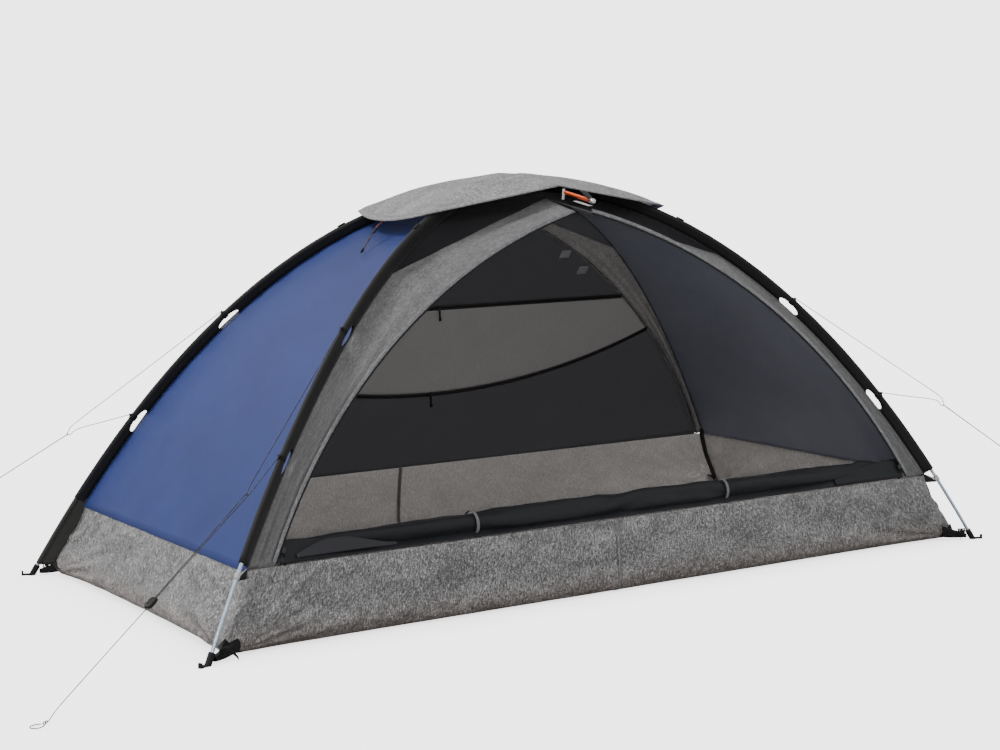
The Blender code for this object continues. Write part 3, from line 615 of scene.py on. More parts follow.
def make_stage():
    """A pale floor and backdrop of one brightness, the floor with a painted contact shadow near the
    tent, and the ground that bounces light.
    """
    pieces = {}
    for name, height in (("floor", 0.0), ("ground", -0.002)):
        bm = bmesh.new()
        bmesh.ops.create_grid(bm, x_segments=1, y_segments=1, size=60.0)
        pieces[name] = link(name, mesh_from(name, bm), None)
        pieces[name].location.z = height
    bm = bmesh.new()
    bmesh.ops.create_uvsphere(bm, u_segments=32, v_segments=16, radius=50.0)
    pieces["backdrop"] = link("backdrop", mesh_from("backdrop", bm), None)
    # The floor gets the painted contact shadow.
    dress(pieces["floor"], glow("studio_floor", 3.7, True))
    dress(pieces["backdrop"], glow("studio_backdrop", 3.7))
    for name in ("floor", "backdrop"):
        pieces[name].visible_diffuse = False
        pieces[name].visible_glossy = False
        pieces[name].visible_transmission = False
        pieces[name].visible_shadow = False
    g = Graph("ground", 0.95)
    g.set("Base Color", (0.45, 0.45, 0.45, 1))
    g.set("Specular IOR Level", 0.05)
    dress(pieces["ground"], g.material)
    pieces["ground"].visible_camera = False
    world = bpy.data.worlds.new("studio")
    bpy.context.scene.world = world
    world.use_nodes = True
    background = world.node_tree.nodes["Background"]
    background.inputs["Color"].default_value = (0.80, 0.80, 0.80, 1)
    background.inputs["Strength"].default_value = 1.00


def sun(name, elevation, azimuth, strength, softness):
    light = bpy.data.lights.new(name, "SUN")
    light.energy = strength
    light.angle = math.radians(softness)
    thing = bpy.data.objects.new(name, light)
    bpy.context.scene.collection.objects.link(thing)
    towards = Vector((
        math.cos(math.radians(elevation)) * math.cos(math.radians(azimuth)),
        math.cos(math.radians(elevation)) * math.sin(math.radians(azimuth)),
        math.sin(math.radians(elevation)),
    ))
    thing.rotation_euler = towards.to_track_quat("Z", "Y").to_euler()


# ---- Guylines ------------------------------------------------------------------------------------
LINE_ROUTE = (
    (0.3700, -0.0017), (0.2500, -0.0022), (0.1200, -0.0030), (0.0300, -0.0041),
    (0.0070, -0.0045), (0.0012, -0.0034), (-0.0013, 0.0000), (0.0012, 0.0034),
    (0.0070, 0.0045), (0.0300, 0.0041), (0.1200, 0.0030), (0.2500, 0.0022), (0.3650, 0.0017),
)
SINGLE_ROUTE = ((0.64, 0.0008), (0.79, 0.0000), (0.93, 0.0000))
LOOP_ROUTE = (
    (-0.0170, 0.0000, 0.0046), (-0.0030, 0.0025, 0.0014), (0.0090, 0.0105, 0.0013),
    (0.0230, 0.0110, 0.0013), (0.0310, 0.0000, 0.0013), (0.0230, -0.0110, 0.0013),
    (0.0090, -0.0105, 0.0013), (0.0005, -0.0035, 0.0016),
)
BRIDLE_TURN = (
    (-0.0300, 0.0135), (-0.0080, 0.0060), (-0.0012, 0.0036), (0.0013, 0.0000),
    (-0.0012, -0.0034), (-0.0070, -0.0043), (-0.0300, -0.0030),
)


def guy_frame(corner):
    (out, up), ground = GUYS[corner]
    junction = Vector((out, 0.0, up))
    line = Vector((ground, 0.0, 0.0)) - junction
    down = line.normalized()
    return junction, line.length, down, Vector((0.0, 1.0, 0.0)), Vector((-down.z, 0.0, down.x))


def make_guylines():
    for corner in CORNERS:
        junction, length, down, side, above = guy_frame(corner)
        stretches = LINE_ROUTE + tuple((share * length, aside) for share, aside in SINGLE_ROUTE)
        route = [junction + down * along + side * aside for along, aside in stretches]
        end = Vector((GUYS[corner][1], 0.0, 0.0))
        route += [end + Vector(spot) for spot in LOOP_ROUTE]
        route = [in_corner(spot, corner) for spot in smooth_route(route, 4)]
        line = cord_tube(f"guyline_cord_{corner}", route, CORD_RADIUS, CORD)
        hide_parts(f"guyline_{corner}")
        knot = make_knot(corner)

        rise = pole_rise(corner)
        upper, lower = (
            Vector((out, 0.0, up)) for out, up in (arm(place, 0.0115, rise) for place in CUTOUTS)
        )
        turn = [junction + down * along + above * over for along, over in BRIDLE_TURN]
        third = (turn[0] - upper) / 3
        route = [upper, upper + third, upper + 2 * third, *turn, (turn[-1] + lower) / 2, lower]
        route = [in_corner(spot, corner) for spot in smooth_route(route, 4)]
        bridle = cord_tube(f"bridle_cord_{corner}", route, CORD_RADIUS, CORD)
        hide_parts(f"bridle_{corner}")


def make_knot(corner):
    """The overhand knot that closes the peg loop."""
    start = in_corner((GUYS[corner][1] - 0.006, 0.0, 0.0032), corner)
    route = []
    for k in range(40):
        a = math.tau * 2 * k / 39
        route.append(start + in_corner((
            0.0065 * (k / 39 - 0.5) * 2, 0.0020 * math.cos(a), 0.0020 * math.sin(a)
        ), corner))
    knot = cord_tube(f"guy_knot_{corner}", route, CORD_RADIUS, CORD)
    return knot


make_camera()
make_stage()
sun("key", 50, 140, 2.25, 16)
sun("fill", 32, 222, 0.75, 8)
make_guylines()


# ---- Poles ---------------------------------------------------------------------------------------
def make_poles():
    """Smooth tubes in place of the CAD's coarse ones, with a ferrule at each joint."""
    for pole, corner in (("a", "fr"), ("b", "br")):
        rise = pole_rise(corner)
        steps = 400
        spots = []
        for k in range(-steps, steps + 1):
            out, up = arm(abs(k) / steps, rise=rise)
            spots.append(in_corner((math.copysign(out, k), 0.0, up), corner))
        lengths = [0.0]
        for a, b in zip(spots, spots[1:]):
            lengths.append(lengths[-1] + (b - a).length)
        end = lengths[-1] / 2 - 0.009
        joint = end - 0.43
        third = joint / 3
        cuts = [-end, -joint, -third, third, joint, end]

        def at(distance):
            distance += lengths[-1] / 2
            for k in range(len(spots) - 1):
                if lengths[k + 1] >= distance:
                    share = (distance - lengths[k]) / (lengths[k + 1] - lengths[k])
                    return spots[k].lerp(spots[k + 1], share)
            return spots[-1]

        for number, (low, high) in enumerate(zip(cuts, cuts[1:]), 1):
            count = 24
            route = [at(low + 0.0004 + (high - low - 0.0008) * k / count) for k in range(count + 1)]
            segment = cord_tube(
                f"pole_{pole}_tube_{number}", route, POLE_RADIUS, POLE, resolution=6
            )
            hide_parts(f"pole_{pole}_segment_{number}")
        for number, cut in enumerate(cuts[1:-1], 1):
            route = [at(cut + d) for d in (-0.012, -0.006, 0.0, 0.006, 0.012)]
            ring = cord_tube(
                f"pole_{pole}_ferrule_{number}", route, POLE_RADIUS + 0.0005, STEEL, resolution=6
            )


# ---- Sleeves -------------------------------------------------------------------------------------
def make_sleeves():
    """A fold of nylon round each pole arm, sewn to the canopy, with guying cut-outs in its web."""
    angles = [math.radians(-118 + 236 * k / 16) for k in range(17)]
    top, bottom = 0.045, BAND_FOOT
    for corner in CORNERS:
        rise = pole_rise(corner)

        def point(u, v):
            place = top + (bottom - top) * v
            at = u * 20 - 2
            pucker = 1 + 0.05 * math.sin(place * 140) * rough((place * 9, 0, 0), 1.0, 2)
            if at < 0 or at > 16:
                share = -at / 2 if at < 0 else (at - 16) / 2
                a = angles[0] if at < 0 else angles[-1]
                slope = 1.0 - (1 - QUARTIC) * place**2 - QUARTIC * place**4
                depth = SEAM_DEPTH + rise * slope
                out = SLEEVE_RADIUS * math.cos(a) * (1 - share) - depth * share
                across = SLEEVE_RADIUS * math.sin(a) * (1 - share)
                across += math.copysign(0.0007, a) * share
            else:
                k = min(int(at), 15)
                a = angles[k] + (angles[k + 1] - angles[k]) * (at - k)
                out = SLEEVE_RADIUS * math.cos(a) * pucker
                across = SLEEVE_RADIUS * math.sin(a) * pucker
            distance, up = arm(place, out, rise)
            return in_corner((distance, across, up), corner)

        sleeve = sheet(f"pole_sleeve_{corner}", point, 20, 120, SLEEVE, thick=0.0006)
        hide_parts(f"sleeve_{corner}")
        for number, place in enumerate(CUTOUTS, 1):
            cut_hole(sleeve, corner, place, rise, number)
            guying_loop(corner, place, rise, number)


def beside_pole(place, offset, rise, step=0.010):
    """A point beside a pole arm as (outwards, up, 0), and its directions along and away from it."""
    middle = Vector((*arm(place, offset, rise), 0.0))
    ahead = (Vector((*arm(place + step, offset, rise), 0.0)) - middle).normalized()
    return middle, ahead, Vector((-ahead.y, ahead.x, 0.0))


def cut_hole(sleeve, corner, place, rise, number):
    """One of the oval holes that the guying point shows through."""
    middle, ahead, outwards = beside_pole(place, -HOLE_DEPTH, rise)
    rings = []
    for across in (-0.02, 0.02):
        ring = []
        for k in range(28):
            a = math.tau * k / 28
            spot = middle + ahead * HOLE_HALF[0] * math.cos(a)
            spot += outwards * HOLE_HALF[1] * math.sin(a)
            ring.append(in_corner((spot.x, across, spot.y), corner))
        rings.append(ring)
    tool = link(f"hole_{corner}_{number}", mesh_from("hole", loft(rings)))
    tool.hide_render = True
    tool.hide_viewport = True
    cut = sleeve.modifiers.new("Hole", "BOOLEAN")
    cut.operation = "DIFFERENCE"
    cut.object = tool
    cut.solver = "EXACT"


def guying_loop(corner, place, rise, number):
    """The webbing band round the pole at a cut-out, and the hook that the bridle is tied to."""
    out, up = arm(place, 0.0, rise)
    far, down = arm(place + 0.004, 0.0, rise)
    ahead = (Vector((far, 0, down)) - Vector((out, 0, up))).normalized()
    outwards = Vector((-ahead.z, 0.0, ahead.x))
    middle = Vector((out, 0.0, up))

    def point(u, v):
        a = math.tau * u
        spot = middle + ahead * (v - 0.5) * 0.013
        spot += outwards * 0.0092 * math.cos(a) + Vector((0, 1, 0)) * 0.0092 * math.sin(a)
        return in_corner(spot, corner)

    band = sheet(f"guy_band_{corner}_{number}", point, 20, 2, STRAP, thick=0.0010, closed=True)
    centre = middle + outwards * 0.0105
    hook = turned(in_corner(centre - Vector((0, 0.0045, 0)), corner), in_corner((0, 1, 0), corner),
                  [(0, 0.0022), (0.001, 0.0030), (0.008, 0.0030), (0.009, 0.0022)], 16)
    solid(f"guy_hook_{corner}_{number}", hook, BLACK_PLASTIC)


# ---- Canopy --------------------------------------------------------------------------------------
def make_end_panels():
    for name, side_x in (("left", -1), ("right", 1)):

        def point(u, v):
            place = CLOTH_TOP + (0.9080 - CLOTH_TOP) * v
            spot = seam(place, side_x, 1)
            spot.y *= 2 * u - 1 if side_x < 0 else 1 - 2 * u
            return spot

        def wrinkle(u, v, spot):
            edge = min(u, 1 - u)
            pull = math.exp(-edge / 0.05) * 0.0016 * math.sin(v * 95 + 3 * rough(spot, 3.0))
            belly = -0.004 * math.sin(math.pi * u) * math.sin(math.pi * min(v * 1.1, 1))
            corner_folds = 0.0022 * math.exp(-((1 - v) / 0.10)) * math.sin(u * 40)
            inside = smooth(edge, 0.0, 0.03) * smooth(1 - v, 0.0, 0.04)
            return (pull + belly + corner_folds + 0.0010 * rough(spot, 7.0)) * inside

        panel = sheet(f"end_cloth_{name}", point, 64, 96, BLUE, BLUE_IN, wrinkle=wrinkle)
        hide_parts(f"end_panel_{name}")


def band_edges(side_x, side_y, radius):
    share = 0.62
    first, last = edge_span(radius)

    def outer(v):
        if v < share:
            place = BAND_FOOT + (BAND_LEAVES_POLE - BAND_FOOT) * v / share
            return seam(place, side_x, side_y)
        leaves = seam(BAND_LEAVES_POLE, side_x, side_y)
        peak = Vector((0.0, side_y * BAND_PEAK[0], BAND_PEAK[1]))
        return leaves.lerp(peak, (v - share) / (1 - share))

    def inner(v, out=0.0, grow=0.0):
        x, rise = edge_xw(first + (last - first) * v, radius + grow)
        return door_point(side_x * x, rise, side_y, out)

    return outer, inner


def make_bands():
    for prefix, side_y, radius, area in (
        ("front", -1, FRONT_RADIUS, 0.143), ("rear", 1, REAR_RADIUS, 0.120),
    ):
        for name, side_x in (("left", -1), ("right", 1)):
            outer, inner = band_edges(side_x, side_y, radius)
            flip = side_x * side_y > 0
            # The rear bands' lining and zip coils take the lighter rear copy, painted light.
            lining, coil_cloth = (BAND_IN, ZIP_COIL) if side_y < 0 else (REAR_BAND_LINING_PAINTED_LIGHT, REAR_BAND_LINING_PAINTED_LIGHT)

            def point(u, v):
                return outer(v).lerp(inner(v), 1 - u if flip else u)

            def wrinkle(u, v, spot):
                edge = min(u, 1 - u)
                run = 0.0016 * math.sin(v * 70 + 5 * rough(spot, 3.0)) * math.exp(-edge / 0.12)
                lengthways = 0.0014 * math.sin(u * 17 + 2.5 * rough(spot, 2.0))
                foot = math.exp(-v / 0.14) * 0.0040 * math.sin(u * 12 + 1.5)
                inside = smooth(edge, 0.0, 0.08) * smooth(v, 0.0, 0.02) * smooth(1 - v, 0, 0.03)
                return (run + lengthways + foot + 0.0012 * rough(spot, 9.0)) * inside

            band = sheet(f"{prefix}_band_cloth_{name}", point, 24, 120, BAND, lining,
                         wrinkle=wrinkle)
            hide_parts(f"{prefix}_band_{name}")

            def hem_point(u, v):
                return inner(0.004 + 0.99 * v, 0.0012, 0.0085 - 0.0090 * (1 - u if flip else u))

            hem = sheet(f"{prefix}_hem_{name}", hem_point, 3, 120, HEM, thick=0.0008)

            def coil_point(u, v):
                return inner(0.006 + 0.985 * v, 0.0, -0.0050 * (1 - u if flip else u))

            coil = sheet(f"{prefix}_zip_{name}", coil_point, 2, 120, coil_cloth, thick=0.0014)


def make_vents():
    for name, side_y in (("front", -1), ("rear", 1)):
        low = BAND_LEAVES_POLE + 0.004

        def point(u, v):
            place = CLOTH_TOP + (low - CLOTH_TOP) * v
            side = (2 * u - 1) * -side_y
            pole = seam(place, math.copysign(1, side), side_y)
            top = seam(CLOTH_TOP, 1, side_y)
            start = Vector((0.0, top.y, top.z))
            end = Vector((0.0, side_y * (BAND_PEAK[0] + 0.006), BAND_PEAK[1] - 0.001))
            return start.lerp(end, v).lerp(pole, abs(side))

        def wrinkle(u, v, spot):
            return 0.0015 * rough(spot, 8.0) * smooth(min(u, 1 - u, v, 1 - v), 0, 0.1) - 0.001

        panel = sheet(f"{name}_vent_cloth", point, 48, 32, NET, wrinkle=wrinkle)
        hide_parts(f"{name}_vent_panel")


# ---- Rear door -----------------------------------------------------------------------------------
def zip_rise(x):
    return (ZIP_HEIGHT - WALL_TOP) * SLANT + ZIP_RADIUS - math.sqrt(ZIP_RADIUS**2 - x**2)


def edge_x(rise):
    """Half the width of the rear opening at a rise up the slope."""
    radius = REAR_RADIUS - 0.001
    return math.sqrt(max(radius**2 - (rise - DOOR_CENTRE[1]) ** 2, 0.0)) - DOOR_CENTRE[0]


def make_rear_door():
    window = (WINDOW_SILL - WALL_TOP) * SLANT

    def span(low, high):
        def point(u, v):
            x = edge_x(low(0.0)) * (1 - 2 * u)
            for _ in range(6):
                rise = low(x) + (high(x) - low(x)) * v
                x = edge_x(rise) * (1 - 2 * u)
            rise = low(x) + (high(x) - low(x)) * v
            return door_point(x, rise, 1)
        return point

    def folds(size):
        def wrinkle(u, v, spot):
            edge = smooth(min(u, 1 - u, v, 1 - v), 0, 0.06)
            sag = 0.0030 * math.sin(u * 34 + 4 * rough(spot, 2.0)) * math.exp(-(1 - v) / 0.35)
            return (sag + 0.0022 * rough(spot, 5.0)) * edge * size
        return wrinkle

    base = lambda x: 0.0
    lower = sheet("rear_lower_cloth", span(base, lambda x: zip_rise(x) - 0.001), 72, 24, NYLON,
                  wrinkle=folds(1.0))
    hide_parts("rear_lower_panel")
    arch = sheet("rear_arch_cloth", span(lambda x: zip_rise(x) + 0.001, lambda x: window - 0.001),
                 72, 20, ARCH, wrinkle=folds(0.9))
    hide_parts("rear_arch_panel")
    top = 0.7855 * SLANT
    net = sheet("rear_window_cloth", span(lambda x: window + 0.001, lambda x: top), 64, 28, NET,
                wrinkle=folds(0.6))
    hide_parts("rear_window_mesh")

    reach = edge_x(zip_rise(0.74)) - 0.004
    for name, level, half, wide in (
        ("rear_zip_tape", zip_rise, reach, 0.013),
        ("window_zip_tape", lambda x: window, edge_x(window) - 0.004, 0.013),
    ):
        for part, size, out, material in (
            ("", wide, -0.0012, SEAM_TAPE), ("_coil", 0.0048, -0.0022, ZIP_COIL),
        ):

            def point(u, v):
                x = half * (2 * v - 1)
                return door_point(x, level(x) + size * (u - 0.5), 1, out)

            tape = sheet(name + part, point, 2, 80, material, thick=0.0009)
    for number, (x, height) in enumerate(((0.405, 0.780), (0.474, 0.730))):
        rise = (height - WALL_TOP) * SLANT

        def point(u, v):
            across = x + 0.034 * (u - 0.5) + 0.006 * v
            return door_point(across, rise + 0.024 * (v - 0.5), 1, -0.004 - 0.003 * v)

        sheet(f"care_label_{number}", point, 4, 3, LABEL, thick=0.0005)


# ---- Floor and walls -----------------------------------------------------------------------------
TUB_RINGS = (
    (1.040, 0.462, 0.0004), (1.066, 0.490, 0.0050), (1.080, 0.505, 0.0240), (1.070, 0.506, 0.0600),
    (1.046, 0.500, 0.1200), (*WALL_TOP_HALF, WALL_TOP),
)


def tub_shape(s):
    """Unit-sized outline of the tub with its corners cut off, s going once round from +X."""
    hx, hy, cut = 1.05, 0.49, 0.005
    runs = [
        ((hx, -hy + cut), (hx, hy - cut)), ((hx - cut, hy), (-hx + cut, hy)),
        ((-hx, hy - cut), (-hx, -hy + cut)), ((-hx + cut, -hy), (hx - cut, -hy)),
    ]
    path = [spot for run in runs for spot in run]
    path.append(path[0])
    lengths = [math.dist(a, b) for a, b in zip(path, path[1:])]
    at = s * sum(lengths)
    for (a, b), length in zip(zip(path, path[1:]), lengths):
        if at <= length:
            share = at / length
            return (a[0] + (b[0] - a[0]) * share) / hx, (a[1] + (b[1] - a[1]) * share) / hy
        at -= length
    return path[0][0] / hx, path[0][1] / hy


def tub_ring(v):
    at = v * (len(TUB_RINGS) - 1)
    k = min(int(at), len(TUB_RINGS) - 2)
    rows = [TUB_RINGS[min(max(i, 0), len(TUB_RINGS) - 1)] for i in (k - 1, k, k + 1, k + 2)]
    return [spline(*four, at - k) for four in zip(*rows)]


def corner_pull(height):
    """How far a tub corner is drawn out toward its pole foot, at a height."""
    return 0.024 * (1 - smooth(height, 0.005, 0.150))


def drawn_out(spot):
    """A point of the tub, moved as the webbing at the nearest corner draws the cloth out."""
    away = math.hypot(TUB_WIDEST[0] - abs(spot.x), TUB_WIDEST[1] - abs(spot.y))
    pull = corner_pull(spot.z) * math.exp(-away / 0.14)
    outwards = Vector((math.copysign(ALONG, spot.x), math.copysign(ACROSS, spot.y), 0.0))
    return spot + outwards * pull


def make_tub():
    def point(u, v):
        x, y = tub_shape(u)
        hx, hy, z = tub_ring(v)
        return drawn_out(Vector((x * hx, y * hy, max(z, 0.0004))))

    def wrinkle(u, v, spot):
        long_side = abs(spot.y) > 0.45
        from_corner = (
            TUB_WIDEST[0] - abs(spot.x) if long_side else TUB_WIDEST[1] - abs(spot.y)
        )
        inside = smooth(v, 0.10, 0.50) * smooth(1 - v, 0.0, 0.12) * smooth(from_corner, 0.0, 0.03)
        along = spot.x * 1.6 if long_side else spot.y * 1.6
        slant = math.sin(26 * (spot.z * 2.2 + along) + 3.5 * rough(spot, 2.5))
        long_fold = math.sin(spot.z * 52 + 2.6 * rough((spot.x, spot.y, 0), 2.2))
        fine = rough((spot.x * 1.0, spot.y * 1.0, spot.z * 2.2), 15.0, 4)
        fan = math.atan2(spot.z - 0.012, max(from_corner, 0.001))
        away = math.hypot(spot.z, from_corner)
        radiating = math.sin(fan * 34 + 2.0 * rough(spot, 3.0)) * math.exp(-away / 0.34)
        radiating *= smooth(away, 0.02, 0.10)
        return inside * (0.0012 * slant + 0.0016 * long_fold + 0.0022 * fine + 0.0062 * radiating)

    wall = sheet("tub_wall_cloth", point, 560, 40, TUB, TUB_IN_PAINTED_LIGHT, wrinkle=wrinkle, closed=True)
    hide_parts("bathtub_floor")

    def floor_point(u, v):
        x, y = 2 * u - 1, 2 * v - 1
        return drawn_out(Vector((1.038 * x, -0.460 * y, 0.0012)))

    def floor_wrinkle(u, v, spot):
        return -abs(0.0030 * rough(spot, 6.0)) * smooth(min(u, 1 - u, v, 1 - v), 0, 0.03)

    # The tub floor takes the same lighter inner face, painted light.
    floor = sheet("tub_floor_cloth", floor_point, 96, 48, TUB_IN_PAINTED_LIGHT, wrinkle=floor_wrinkle)
    for name, x, side_y, out in (("front", -0.025, -1, 0.0022), ("rear", -0.075, 1, -0.0050)):

        def seam_point(u, v):
            hx, hy, z = tub_ring(0.12 + 0.88 * v)
            return Vector((x + 0.010 * (u - 0.5), side_y * (hy + out), z))

        tape = sheet(f"wall_seam_{name}", seam_point, 2, 24, SEAM_FELL if side_y < 0 else SEAM_BACK,
                     thick=0.0009)


# ---- Roof cap ------------------------------------------------------------------------------------
def make_cap():
    lift, corner_place, tab, beak = 0.022, 0.312, 0.031, (0.217, 0.993)
    corner_out, corner_up = arm(corner_place, lift)
    reach_out, reach_up = beak[0] - ACROSS * corner_out, beak[1] - corner_up

    def point(u, v):
        a, b = 1 - 2 * u, 2 * v - 1
        reach = max(abs(a), abs(b), 1e-6)
        out, up = arm(corner_place * reach, lift)
        x, y = ALONG * out * a / reach, ACROSS * out * b / reach
        if abs(a) >= abs(b):
            push = tab * reach**3 * (1 - (b / reach) ** 2)
            x += math.copysign(push, a)
            up -= 0.62 * push
        else:
            share = reach**1.5 * (1 - abs(a) / reach)
            y += math.copysign(reach_out * share, b)
            up += reach_up * share
        return Vector((x, y, up))

    def wrinkle(u, v, spot):
        edge = min(u, 1 - u, v, 1 - v)
        return (0.0022 * rough(spot, 5.0) + 0.0016 * math.sin(spot.x * 60 + 3 * rough(spot, 3.0))
                * math.exp(-edge / 0.08)) * smooth(edge, 0.0, 0.02)

    cap = sheet("roof_cap_cloth", point, 96, 96, CAP, wrinkle=wrinkle)
    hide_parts("roof_cap")
    for number, along_u in enumerate((True, True, False, False)):
        far = number % 2

        def hem_point(u, v):
            edge = 1 - 0.022 * u if far else 0.022 * u
            spot = point(v, edge) if along_u else point(edge, v)
            return spot + Vector((0.0, 0.0, 0.0014))

        hem = sheet(f"cap_hem_{number + 1}", hem_point, 2, 48, CAP, thick=0.0007)
    for name, side_x in (("left", -1), ("right", 1)):
        edge = point(1.0 if side_x < 0 else 0.0, 0.5)
        edge.x = side_x * abs(edge.x)
        anchor = seam(0.396, side_x, 1)
        anchor = Vector((anchor.x, 0.0, anchor.z)) + Vector((side_x * 0.004, 0.0, 0.006))
        clip = edge.lerp(anchor, 0.30)
        eyelet = turned(edge + Vector((-side_x * 0.016, 0.0, 0.0060)), (side_x * 0.35, 0, 1),
                        [(0, 0.0050), (0.0010, 0.0068), (0.0020, 0.0060)], 20)
        solid(f"cap_eyelet_{name}", eyelet, STEEL)
        tab_route = [edge + Vector((-side_x * 0.010, 0, -0.0016)), edge.lerp(clip, 0.5), clip]
        tape = strap(f"cap_tab_{name}", tab_route, 0.009, RED_TAPE, (0, 1, 0))
        ahead = (anchor - clip).normalized()
        side = Vector((0.0, 1.0, 0.0))
        axes = (ahead, side, ahead.cross(side))
        box = block(clip + ahead * 0.004, (0.0080, 0.0055, 0.0022), axes)
        solid(f"cap_clip_{name}", box, BLACK_PLASTIC, bevel=0.0012)
        cords = []
        for strand, across in enumerate((-0.0028, 0.0028), 1):
            start = clip + ahead * 0.010 + side * across
            end = anchor + side * across * 0.4
            route = [start.lerp(end, k / 8) for k in range(9)]
            cord = cord_tube(f"cap_cord_{name}_{strand}", route, 0.0012, TIE_CORD)
            cords.append(cord)
        knob = turned(anchor - ahead * 0.002, ahead,
                      [(0, 0.0022), (0.002, 0.0034), (0.010, 0.0030), (0.013, 0.0016)], 14)
        solid(f"cap_anchor_{name}", knob, BLACK_PLASTIC)


# ---- Rolled door ---------------------------------------------------------------------------------
def make_roll():
    def point(u, v):
        share = 2 * v - 1
        x = 0.905 * share
        radius = 0.016 + 0.012 * (1 - abs(share) ** 4)
        pinch = sum(math.exp(-((x - at) / 0.030) ** 2) for at in TIE_PLACES.values())
        a = math.tau * u
        folds = 0.10 * math.sin(3 * a + 5 * rough((x * 2, 0, 0), 1.0)) * (1 - 0.6 * pinch)
        ridges = 0.07 * rough((x * 5, math.cos(a) * 0.7, math.sin(a) * 0.7), 2.2)
        radius *= 1 + folds + ridges - 0.10 * pinch
        flatten = 0.92
        return Vector((x, ROLL[0] + radius * math.cos(a), ROLL[1] + flatten * radius * math.sin(a)))

    roll = sheet("door_roll_cloth", point, 40, 200, ROLLED, closed=True, thick=0.0006)
    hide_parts("door_roll")
    for name, x in TIE_PLACES.items():

        def band_point(u, v):
            a = math.tau * u
            return Vector((
                x + 0.008 * (v - 0.5),
                ROLL[0] + 0.0308 * math.cos(a), ROLL[1] + 0.0298 * math.sin(a),
            ))

        tie = sheet(f"door_tie_band_{name}", band_point, 32, 2, ELASTIC, closed=True, thick=0.0012)
        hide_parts(f"door_tie_{name}")
        toggle = turned((x - 0.011, ROLL[0] - 0.026, ROLL[1] - 0.026), (1, 0, 0),
                        [(0, 0.0025), (0.002, 0.0042), (0.020, 0.0042), (0.022, 0.0025)], 16)
        solid(f"door_toggle_{name}", toggle, BLACK_PLASTIC)


# ---- Corners -------------------------------------------------------------------------------------
def tub_size(height):
    """Half length and half width of the tub at a height."""
    for (x0, y0, z0), (x1, y1, z1) in zip(TUB_RINGS, TUB_RINGS[1:]):
        if height <= z1:
            share = max(0.0, (height - z0) / (z1 - z0))
            return x0 + (x1 - x0) * share, y0 + (y1 - y0) * share
    return WALL_TOP_HALF


